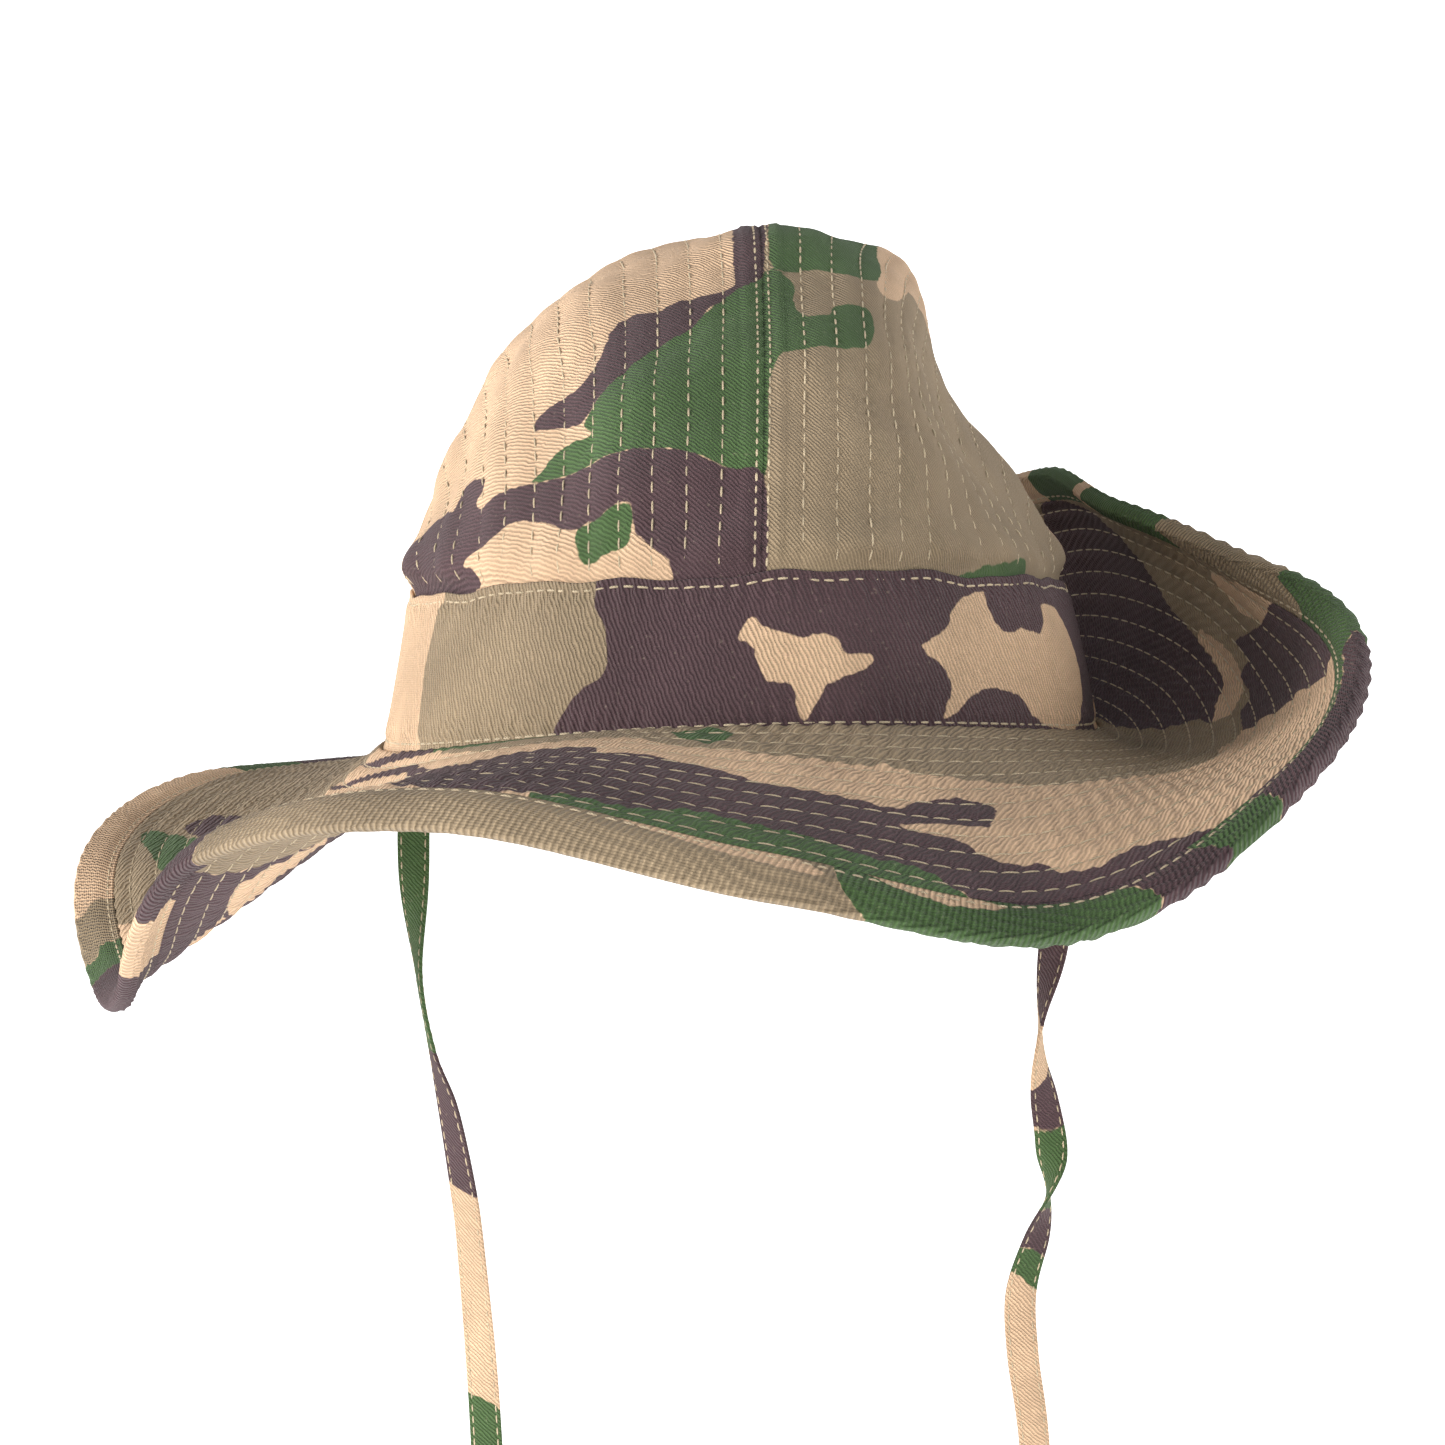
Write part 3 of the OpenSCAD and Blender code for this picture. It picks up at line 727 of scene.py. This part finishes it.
def stitch_places(line, tips, pitch, length, rng):
    """Stitches along a dense line of points: middle, half step along it, and outward."""
    steps = np.linalg.norm(np.diff(line, axis=0), axis=1)
    travel = np.concatenate([[0], np.cumsum(steps)])
    count = max(int(travel[-1] / pitch), 1)
    middle = (np.arange(count) + 0.5) * travel[-1] / count
    middle = middle + rng.uniform(-0.12, 0.12, count) * pitch * 0.5
    half = length / 2 * rng.uniform(0.88, 1.08, count)
    ends = [np.stack([np.interp(middle + s * half, travel, line[:, k])
                      for k in range(3)], -1) for s in (-1, 1)]
    out = np.stack([np.interp(middle, travel, (tips - line)[:, k]) for k in range(3)], -1)
    out = out / np.linalg.norm(out, axis=1, keepdims=True)
    return (ends[0] + ends[1]) / 2, (ends[1] - ends[0]) / 2, out


def sew(name, node, lines, pitch=4.1, length=3.1, thick=0.45, seed=1, body="hat"):
    """Rows of stitches as one piece, which stands for a CAD node or for none. Each line is
    (points on the cloth, points above)."""
    rng = np.random.default_rng(seed)
    found = [stitch_places(line, tips, pitch, length, rng) for line, tips in lines]
    middle, half, out = (np.concatenate([f[k] for f in found]) for k in range(3))
    across = np.cross(half / np.linalg.norm(half, axis=1, keepdims=True), out)
    across = across / np.linalg.norm(across, axis=1, keepdims=True)
    turn = np.arange(STITCH_SIDES) * 2 * pi / STITCH_SIDES
    rings = []
    for place, girth, sink in STITCH_RINGS:
        spine = middle + half * 2 * place - out * sink * thick
        round_part = (across[:, None] * np.cos(turn)[None, :, None]
                      + out[:, None] * np.sin(turn)[None, :, None])
        rings.append(spine[:, None] + round_part * girth * thick / 2)
    points = np.stack(rings, 1)
    count, ring_count = points.shape[:2]
    i, j = grid_corners(ring_count, STITCH_SIDES, False)
    body_faces = i * STITCH_SIDES + j % STITCH_SIDES
    first = np.array([[0, 1, 2, 3], [0, 3, 4, 5]])
    last = (ring_count - 1) * STITCH_SIDES + first[:, ::-1]
    one = np.concatenate([body_faces, first, last])
    step = ring_count * STITCH_SIDES
    faces = (np.arange(count)[:, None, None] * step + one[None]).reshape(-1, 4)
    flat_u = np.repeat(np.array([r[0] for r in STITCH_RINGS]) * length, STITCH_SIDES)
    flat_v = np.tile(np.arange(STITCH_SIDES) * thick * 0.5, ring_count)
    one_uv = np.stack([flat_u, flat_v], -1)[one]
    offset = np.arange(count)[:, None, None, None] * pitch
    uv = (one_uv[None] + offset * np.array([1.0, 0.0])).reshape(-1, 4, 2) * MM
    stitches = make_piece(name, points, faces, uv, sewing_thread, body=body)
    if node:
        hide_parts(node)
    return stitches


def sewn_line(place, first, second, lift, relief=None):
    """A row for sew: points on the cloth at a lift, and the same points one mm higher."""
    first, second = np.broadcast_arrays(np.asarray(first, float), second)
    detail = relief(first, second) if relief else 0.0
    return place(first, second, lift + detail), place(first, second, lift + detail + 1)


# ---- materials ----

def srgb(red, green, blue):
    """A colour of 0 to 255 as the shader's linear numbers."""
    linear = [c / 255 / 12.92 if c < 11 else ((c / 255 + 0.055) / 1.055) ** 2.4
              for c in (red, green, blue)]
    return (*linear, 1.0)


TAN = srgb(205, 173, 141)
OLIVE = srgb(146, 128, 103)
GREEN = srgb(70, 94, 55)
BROWN = srgb(79, 60, 63)
THREAD = srgb(202, 184, 154)
WEBBING = srgb(150, 138, 116)
STIFFENER = srgb(214, 208, 190)
LINT = srgb(214, 198, 172)


class Shader:
    """A material and short calls for the nodes that it is made of."""

    def __init__(self, name):
        self.material = bpy.data.materials.new(name)
        self.material.use_nodes = True
        self.tree = self.material.node_tree
        self.tree.nodes.clear()

    def node(self, kind, inputs, **settings):
        node = self.tree.nodes.new("ShaderNode" + kind)
        for key, value in settings.items():
            setattr(node, key, value)
        for key, value in inputs.items():
            if isinstance(value, bpy.types.NodeSocket):
                self.tree.links.new(value, node.inputs[key])
            else:
                node.inputs[key].default_value = value
        return node

    def math(self, operation, *values):
        return self.node("Math", dict(enumerate(values)), operation=operation).outputs[0]

    def mix(self, share, first, second):
        node = self.node("Mix", {0: share, 6: first, 7: second}, data_type="RGBA")
        return node.outputs[2]

    def shade(self, colour, factor):
        """The colour times a grey factor."""
        grey = self.node("CombineColor", {0: factor, 1: factor, 2: factor}).outputs[0]
        node = self.node("Mix", {0: 1.0, 6: colour, 7: grey}, data_type="RGBA",
                         blend_type="MULTIPLY")
        return node.outputs[2]

    def noise(self, vector, scale, detail=2.0):
        node = self.node("TexNoise", {"Vector": vector, "Scale": scale, "Detail": detail})
        return node.outputs[0]

    def ramp(self, value, low, high, start=0.0, end=1.0):
        node = self.node("MapRange", {0: value, 1: low, 2: high, 3: start, 4: end},
                         interpolation_type="SMOOTHSTEP")
        return node.outputs[0]

    def surface(self, colour, height, depth, roughness, sheen):
        bump = self.node("Bump", {"Strength": 1.0, "Distance": depth, "Height": height})
        shader = self.node("BsdfPrincipled", {
            "Base Color": colour, "Roughness": roughness, "Normal": bump.outputs[0],
            "Specular IOR Level": 0.25, "Sheen Weight": sheen, "Sheen Roughness": 0.5})
        output = self.node("OutputMaterial", {"Surface": shader.outputs[0]})
        self.tree.nodes.active = output
        return self.material


def cloth(name, ground, camo=True, line=0.85, slope=1.0, ribs=0.0, depth=0.13,
          wobble=1.3):
    """Cotton twill: diagonal lines of yarn in relief, also painted into the colour as shade
    in their grooves and highlight on their ridges; fading, lint and, with camo, the
    printed patches from the mesh. line is the pitch of its lines in mm, slope their
    lean, depth their relief in mm and wobble how far they stray."""
    s = Shader(name)
    uv = s.node("UVMap", {}, uv_map="weave").outputs[0]
    axes = s.node("SeparateXYZ", {0: uv})
    u, v = axes.outputs[0], axes.outputs[1]
    place = s.node("TexCoord", {}).outputs["Object"]
    wander = s.noise(uv, 350.0)
    blotch = s.noise(place, 38.0, 3.0)
    fuzz = s.noise(place, 2600.0, 3.0)
    edge_noise = s.noise(place, 420.0, 3.0)
    across = s.math("MULTIPLY_ADD", v, slope, u)
    turns = s.math("MULTIPLY_ADD", across, 0.78 / (line * MM), s.math("MULTIPLY", wander, wobble))
    twill = s.math("SINE", s.math("MULTIPLY", turns, 2 * pi))
    weft = s.math("MULTIPLY_ADD", v, 1 / (0.45 * MM), s.math("MULTIPLY", wander, 0.8))
    yarn = s.math("SINE", s.math("MULTIPLY", weft, 2 * pi))
    colour = ground
    if camo:
        for mark, paint in (("olive", OLIVE), ("green", GREEN), ("brown", BROWN)):
            inside = s.node("Attribute", {}, attribute_name=mark).outputs["Fac"]
            ragged = s.math("MULTIPLY_ADD", edge_noise, 1.6, s.math("SUBTRACT", inside, 0.8))
            colour = s.mix(s.ramp(ragged, -0.22, 0.22), colour, paint)
    faded = s.ramp(blotch, 0.3, 0.72, 0.87, 1.12)
    # Painted shade and highlight: the ridges of the twill and the cross yarn are lighter and
    # their grooves darker, on top of the bump. The fuzz adds lint of random tone.
    twill_shade = s.math("MULTIPLY_ADD", twill, 0.20, 1.0)
    weave_shade = s.math("MULTIPLY_ADD", yarn, 0.035, twill_shade)
    weave_shade_and_fuzz = s.math("MULTIPLY_ADD", s.math("SUBTRACT", fuzz, 0.5), 0.30, weave_shade)
    colour = s.shade(colour, s.math("MULTIPLY", faded, weave_shade_and_fuzz))
    worn = s.ramp(s.noise(place, 900.0, 4.0), 0.62, 0.78, 0.0, 0.12)
    colour = s.mix(worn, colour, LINT)
    height = s.math("MULTIPLY_ADD", yarn, 0.25, twill)
    height = s.math("MULTIPLY_ADD", fuzz, 0.9, height)
    if ribs:
        rib = s.math("SINE", s.math("MULTIPLY", v, 2 * pi / (ribs * MM)))
        height = s.math("MULTIPLY_ADD", rib, 1.5, height)
    return s.surface(colour, height, depth * MM, 0.92, 0.08)


def thread(name):
    """Two-ply sewing thread, with its twist in relief and as painted shade in its grooves, and a
    little soil.
    """
    s = Shader(name)
    uv = s.node("UVMap", {}, uv_map="weave").outputs[0]
    axes = s.node("SeparateXYZ", {0: uv})
    place = s.node("TexCoord", {}).outputs["Object"]
    twist = s.math("MULTIPLY_ADD", axes.outputs[1], 1.2, axes.outputs[0])
    ply = s.math("SINE", s.math("MULTIPLY", twist, 2 * pi / (0.75 * MM)))
    soil = s.ramp(s.noise(place, 60.0, 3.0), 0.35, 0.7, 0.78, 1.05)
    # Painted shade: the ply's grooves darker and its ridges lighter; soil is uneven dirt.
    shade = s.math("MULTIPLY", soil, s.math("MULTIPLY_ADD", ply, 0.12, 1.0))
    return s.surface(s.shade(THREAD, shade), ply, 0.00006, 0.75, 0.1)


def paper_white(name):
    """Bright white paper, a little uneven."""
    s = Shader(name)
    place = s.node("TexCoord", {}).outputs["Object"]
    tone = s.ramp(s.noise(place, 3.0), 0.3, 0.7, 0.98, 1.0)
    shader = s.node("BsdfPrincipled", {
        "Base Color": s.shade((0.93, 0.93, 0.93, 1), tone), "Roughness": 0.9,
        "Emission Color": (1, 1, 1, 1), "Emission Strength": 0.88})
    s.node("OutputMaterial", {"Surface": shader.outputs[0]})
    return s.material


camo_twill = cloth("camo_twill", TAN)
band_twill = cloth("band_twill", TAN, line=0.9, slope=0.55, depth=0.18)
brim_twill = cloth("brim_twill", TAN, line=0.95, slope=0.6, depth=0.16)
edge_twill = cloth("edge_twill", TAN, line=1.0, slope=0.45, depth=0.24, wobble=0.45)
plain_twill = cloth("plain_twill", OLIVE, camo=False)
tape_cloth = cloth("tape_cloth", WEBBING, camo=False, line=0.6, slope=0.0, ribs=0.9)
stiffening = cloth("stiffening", STIFFENER, camo=False, line=0.5, slope=0.0)
sewing_thread = thread("sewing_thread")


# ---- chin ties ----

# A tie's mesh: steps down its length, points round its section, the section's girth in mm
# and how far its two rows of stitches are from its edges. Its path takes every
# twelfth step.
TIE_STEPS = 420
TIE_SIDES = 28
TIE_GIRTH = 19.0
TIE_SEAM_INSET = 1.1
PATH_STEP = 12
TIE_COLOURS = {
    "left": ((28, "green"), (52, "olive"), (73, "brown"), (90, "tan"), (101, "brown"),
             (122, "green"), (134, "brown"), (141, "green"), (196, "tan"),
             (230, "olive"), (262, "brown"), (300, "tan"), (340, "green"), (999, "tan")),
    "right": ((78, "green"), (112, "brown"), (166, "tan"), (205, "green"), (240, "tan"),
              (282, "brown"), (330, "olive"), (999, "tan")),
}


def tie_route(route, twist, f):
    """Centre and twist of a tie at the fractions f of its route, in mm and radians."""
    spot = along(route, f)
    centre = np.stack([spot[:, 0], spot[:, 1], TIE_TOP - TIE_DROP * spot[:, 2]], -1)
    return centre, np.radians(along(twist, f))


def tie_frame(route, twist, f):
    """Centre, thickness direction and width direction of a tie at the fractions f."""
    centre, turn = tie_route(route, twist, f)
    zero = np.zeros(len(f))
    thick = np.stack([np.cos(turn), np.sin(turn), zero], -1)
    wide = np.stack([-np.sin(turn), np.cos(turn), zero], -1)
    return centre, thick, wide


def chin_tie(side, route, twist):
    """A flat folded tape with two sewn edges, hung from the seam inside the hat."""
    f = np.linspace(0, 1, TIE_STEPS)
    centre, thick, wide = tie_frame(route, twist, f)
    around = np.arange(TIE_SIDES) * 2 * pi / TIE_SIDES
    across = np.sign(np.cos(around)) * np.abs(np.cos(around)) ** 0.55 * (TIE_W / 2 - 0.1)
    deep = np.sign(np.sin(around)) * np.abs(np.sin(around)) ** 0.45 * (TIE_T / 2 - 0.12)
    groove = 1 - 0.35 * np.exp(-((np.abs(across) - TIE_W / 2 + TIE_SEAM_INSET) / 0.4) ** 2)
    travel = np.concatenate([[0], np.cumsum(np.linalg.norm(np.diff(centre, axis=0), axis=1))])
    ripple = 1 + 0.10 * np.sin(travel / 3.1)[:, None] * np.cos(across / 2)[None, :]
    points = (centre[:, None] + wide[:, None] * across[None, :, None]
              + thick[:, None] * (deep * groove * ripple)[..., None])
    i, j = grid_corners(TIE_STEPS, TIE_SIDES, False)
    faces = i * TIE_SIDES + j % TIE_SIDES
    girth = np.concatenate([np.cumsum(np.hypot(np.diff(across), np.diff(deep))), [TIE_GIRTH]])
    girth = np.concatenate([[0], girth])[:TIE_SIDES + 1]
    uv = np.stack([girth[j], travel[i]], -1) * MM
    pairs = np.arange(TIE_SIDES // 2 - 1)
    cap = np.stack([pairs, pairs + 1, TIE_SIDES - 2 - pairs, TIE_SIDES - 1 - pairs], -1)
    for row, ring in ((0, cap[:, ::-1]), (TIE_STEPS - 1, cap)):
        faces = np.concatenate([faces, row * TIE_SIDES + ring])
        flat = np.stack([across, travel[row] + deep], -1)
        uv = np.concatenate([uv, flat[ring] * MM])
    drop = np.broadcast_to(travel[:, None], ripple.shape)
    slant = across[None, :] * 0.5 + 2.0 * waves(points, 7, 90)
    fields = stretches(drop, TIE_COLOURS[side], slant, 1.0)
    name = "tie_tape_" + side
    body = "tie_" + side
    tape = make_piece(name, points, faces, uv, camo_twill, body=body, marks=fields)
    stands_for("chin_tie_" + side)

    dense = np.linspace(0.005, 0.998, 1200)
    centre, thick, wide = tie_frame(route, twist, dense)
    lines = []
    for edge in (-1, 1):
        for face in (-1, 1):
            line = centre + wide * edge * (TIE_W / 2 - TIE_SEAM_INSET) + thick * face * 0.42
            lines.append((line, line + thick * face))
    stitches = sew("tie_stitches_" + side, None, lines, pitch=2.9, length=2.2, thick=0.36,
                   seed=20, body=body)

    # The bar tack: a few thick threads across the tie, near its sewn end.
    bars = []
    inward = -1 if side == "left" else 1
    for k in range(5):
        height = TIE_TOP - 0.8 - 0.35 * k
        run = np.linspace(-3.1, 3.1, 30)
        x = route[0][0] + inward * (TIE_T / 2 + 0.65)
        line = np.stack([np.full(30, x), route[0][1] + run, np.full(30, height)], -1)
        bars.append((line, line + np.array([inward, 0, 0])))
    sew("tie_bar_tack_" + side, "tie_tack_" + side, bars, pitch=1.6, length=1.75, thick=0.42,
        seed=21)

    path = tie_route(route, twist, f[::PATH_STEP])[0] * MM
    path = np.concatenate([path, tie_route(route, twist, f[-1:])[0] * MM])


chin_tie("left", LEFT_TIE, LEFT_TWIST)
chin_tie("right", RIGHT_TIE, RIGHT_TWIST)


# ---- crown ----

def add_crown():
    """The two halves of the crown, their linings and the rows of stitches beside the seam."""
    for name, side in (("left", 1), ("right", -1)):
        panel = crown_half("crown_twill_" + name, side, 0.0, PLY, (170, 260), crown_relief,
                           crown_camo, camo_twill)
        stands_for("crown_panel_" + name)
        lining = crown_half("crown_inside_" + name, side, -PLY_STEP - 0.2, -0.3, (90, 140),
                            None, None, plain_twill)
        stands_for("crown_lining_" + name)
        rows = []
        for k in range(CROWN_ROWS):
            angle = side * (FIRST_ROW + k * ROW_ANGLE)
            start = np.degrees(np.arcsin((BAND_H + 1.5) / CROWN_HEIGHT / cos(radians(angle))))
            arch = np.linspace(start, 180 - start, 1200)
            rows.append(sewn_line(panel_at, angle, arch, PLY + 0.12, crown_relief))
        sew("crown_row_stitches_" + name, "crown_rows_" + name, rows, seed=30)


def add_crown_seam():
    """The two close rows of stitches at the centre seam, and the tape inside it."""
    arch = np.linspace(18, 162, 1600)
    lines = [sewn_line(panel_at, side * 0.9, arch, PLY + 0.18, crown_relief)
             for side in (-1, 1)]
    sew("crown_seam_stitches", "seam_topstitch", lines, pitch=2.9, length=2.5, thick=0.6,
        seed=31)
    tape = seam_tape()
    stands_for("crown_seam_tape")


def seam_tape():
    """The tape that covers the seam's raw edges inside the crown."""
    half, low, high = 3.2, -PLY_STEP - 0.38 - PLY, -PLY_STEP - 0.38
    arch = np.linspace(9, 171, 160)[:, None]
    across = np.linspace(-half, half, 9)
    angle = np.concatenate([across, across[::-1]])[None, :]
    lift = np.repeat([high, low], 9)[None, :]
    points = panel_at(angle, arch, lift)
    flat = np.stack(np.broadcast_arrays(angle * MM_PER_DEGREE, arch * ARCH_MM_PER_DEGREE), -1)
    return make_piece("seam_binding_tape", points, *closed_strip(flat), tape_cloth)


def band_at(bearing, height, lift):
    """A point of the band, whose top edge runs in shallow waves."""
    turn = np.radians(bearing)
    sway = 0.5 * np.sin(7 * turn) + 0.4 * np.sin(16 * turn + 0.7) + 0.25 * np.sin(29 * turn)
    return ring_at(bearing, height + sway * (height / BAND_H) ** 3, lift)


def add_band():
    """The plain band round the crown's base, with a row of stitches at both its edges."""
    height = np.concatenate([[0.0, 0.4], np.linspace(0.9, BAND_H - 0.5, 40), [BAND_H]])
    profile = section(height, BAND_LIFT + PLY, BAND_LIFT, 8)
    profile[0, 1] -= 0.25
    profile[len(height) - 1, 1] -= 0.25
    band = ring_cloth("hat_band_twill", band_at, profile, 900, band_relief, band_camo,
                      band_twill, strip_weave)
    stands_for("hat_band")
    bearing = np.linspace(180, 540, 4000)
    for name, at in (("band_top_stitch", BAND_H - 1.8), ("band_bottom_stitch", 2.2)):
        line = sewn_line(band_at, bearing, at, BAND_LIFT + PLY + 0.1, band_relief)
        sew(name + "es", name, [line], pitch=3.4, length=2.9, thick=0.55, seed=32)


def add_sweatband():
    """The tape inside the head opening."""
    height = np.linspace(0, SWEATBAND_H, 24)
    profile = section(height, SWEATBAND_LIFT - PLY, SWEATBAND_LIFT, 6)
    band = ring_cloth("sweatband_twill", ring_at, profile, 360, None, None, tape_cloth,
                      strip_weave)
    stands_for("sweatband")
    bearing = np.linspace(180, 540, 3000)
    low = ring_at(bearing, 2.4, SWEATBAND_LIFT - PLY - 0.1)
    high = ring_at(bearing, 2.4, SWEATBAND_LIFT - PLY - 1.1)
    sew("sweatband_stitches", "sweatband_stitch", [(low, high)], seed=33)


# ---- brim ----

def add_brim():
    """The brim's two outer plies and the stiffening between them."""
    dist = np.arange(2, 9 * (BRIM_ROWS + 1) + 1) * ROW_PITCH / 9
    top = ring_cloth("brim_top_twill", brim_at,
                     section(dist, BRIM_TOP_LIFT + PLY, BRIM_TOP_LIFT, 12), FINE_STEPS,
                     brim_relief, brim_camo, brim_twill, brim_weave)
    stands_for("brim_top")
    middle = ring_cloth("brim_stiffening", brim_at,
                        section(dist[::8], PLY_STEP + PLY, PLY_STEP, 14), 240,
                        None, None, stiffening, brim_weave)
    stands_for("brim_interlining")
    under = ring_cloth("brim_under_twill", brim_at, section(dist, 0.0, PLY, 12), FINE_STEPS,
                       lambda bearing, at: -brim_relief(bearing, at), under_camo,
                       brim_twill, brim_weave)
    stands_for("brim_underside")


def add_brim_rows():
    """The rings of stitches that quilt the brim, seen on its top and underneath."""
    bearing = np.linspace(180, 540, ROW_POINTS)
    top, under = [], []
    for k in range(1, BRIM_ROWS):
        at = k * ROW_PITCH
        top.append(sewn_line(brim_at, bearing, at, BRIM_TOP_LIFT + PLY + 0.16))
        under.append((brim_at(bearing, at, -0.16), brim_at(bearing, at, -1.16)))
    sew("brim_row_stitches_top", "brim_rows_thread", top, pitch=5.0, length=4.1, thick=0.36,
        seed=40)
    sew("brim_row_stitches_under", None, under, pitch=5.0, length=4.1, thick=0.36, seed=41)


def add_binding():
    """The strip folded over the brim's edge, with its line of stitches on both faces."""
    high = BRIM_TOP_LIFT + PLY + 0.08
    low = -0.08
    reach = np.linspace(FLAT_W, BRIM_W - 0.2, 14)
    middle = (high + low) / 2
    outer_radius = (high - low) / 2 + PLY
    inner_radius = outer_radius - PLY * 0.8
    turn = np.radians(np.linspace(80, -80, 9))
    bow_out = [(BRIM_W + outer_radius * 0.55 * cos(t), middle + outer_radius * sin(t), 1)
               for t in turn]
    bow_in = [(BRIM_W + inner_radius * 0.3 * cos(t), middle + inner_radius * sin(t), 0)
              for t in turn[::-2]]
    rise = np.minimum(1, 0.3 + 0.35 * np.arange(len(reach)))
    top = [(d, high + PLY * r, 1) for d, r in zip(reach, rise)]
    bottom = [(d, low - PLY, -1) for d in reach[::-1]]
    inside_low = [(d, low, 0) for d in reach[::4]]
    inside_high = [(d, high, 0) for d in reach[::-4]]
    profile = np.array(top + bow_out + bottom + inside_low + bow_in + inside_high, float)
    strip = ring_cloth("brim_edge_binding", brim_at, profile, FINE_STEPS, binding_relief,
                       binding_camo, edge_twill, edge_weave)
    stands_for("brim_binding")
    bearing = np.linspace(180, 540, ROW_POINTS)
    at = FLAT_W + 1.6
    top = sewn_line(brim_at, bearing, at, high + PLY + 0.1, binding_relief)
    detail = binding_relief(bearing, np.full(bearing.shape, at))
    under = (brim_at(bearing, at, low - PLY - 0.1 - detail),
             brim_at(bearing, at, low - PLY - 1.1 - detail))
    sew("binding_stitches", "binding_stitch", [top, under], pitch=3.4, length=2.7, thick=0.5,
        seed=42)


add_crown()
add_crown_seam()
add_band()
add_sweatband()
add_brim()
add_brim_rows()
add_binding()


# ---- stage and light ----

# The stage, in metres: the floor's height and flat radius, and the radius of its bend.
FLOOR_Z = -0.40
FLAT_FLOOR = 5
WALL = 7
STAGE_SIDES = 72


def add_stage():
    """A wide pale floor that curves up into a wall all round."""
    bend = [(FLAT_FLOOR + WALL * sin(radians(t)), FLOOR_Z + WALL - WALL * cos(radians(t)))
            for t in range(0, 91, 10)]
    profile = [(0.05, FLOOR_Z), (3, FLOOR_Z)] + bend
    n = STAGE_SIDES
    turns = [k * 2 * pi / n for k in range(n)]
    vertices = [(r * cos(t), r * sin(t), z) for r, z in profile for t in turns]
    faces = [(n * i + j, n * (i + 1) + j, n * (i + 1) + (j + 1) % n, n * i + (j + 1) % n)
             for i in range(len(profile) - 1) for j in range(n)]
    faces.append(tuple(range(n)))
    mesh = bpy.data.meshes.new("backdrop")
    mesh.from_pydata(vertices, [], faces)
    mesh.shade_smooth()
    mesh.materials.append(paper_white("paper_white"))
    backdrop = bpy.data.objects.new("backdrop", mesh)
    bpy.context.scene.collection.objects.link(backdrop)


def add_light(name, place, target, size, power, colour):
    """A round soft light at a place, aimed at a target."""
    lamp = bpy.data.lights.new(name, "AREA")
    lamp.shape = "DISK"
    lamp.size = size
    lamp.energy = power
    lamp.color = colour
    light = bpy.data.objects.new(name, lamp)
    light.location = place
    aim = Vector(target) - Vector(place)
    light.rotation_euler = aim.to_track_quat("-Z", "Y").to_euler()
    bpy.context.scene.collection.objects.link(light)


def add_world(strength):
    """An even pale light from all sides."""
    world = bpy.data.worlds.new("pale_room")
    world.use_nodes = True
    background = world.node_tree.nodes["Background"]
    background.inputs[0].default_value = (0.97, 0.98, 1.0, 1)
    background.inputs[1].default_value = strength
    bpy.context.scene.world = world


add_stage()
add_world(0.25)
add_light("key", (-1.7, -0.6, 0.35), (0, 0, 0.0), 0.8, 30, (1.0, 0.98, 0.96))
add_light("front", (0.0, -1.9, 0.1), (0, 0, -0.02), 0.9, 4, (0.98, 0.98, 1.0))
add_light("side", (1.7, 0.6, 0.7), (0.1, 0, 0.03), 1.0, 10, (1.0, 0.98, 0.96))
bpy.context.scene.view_settings.view_transform = "Standard"
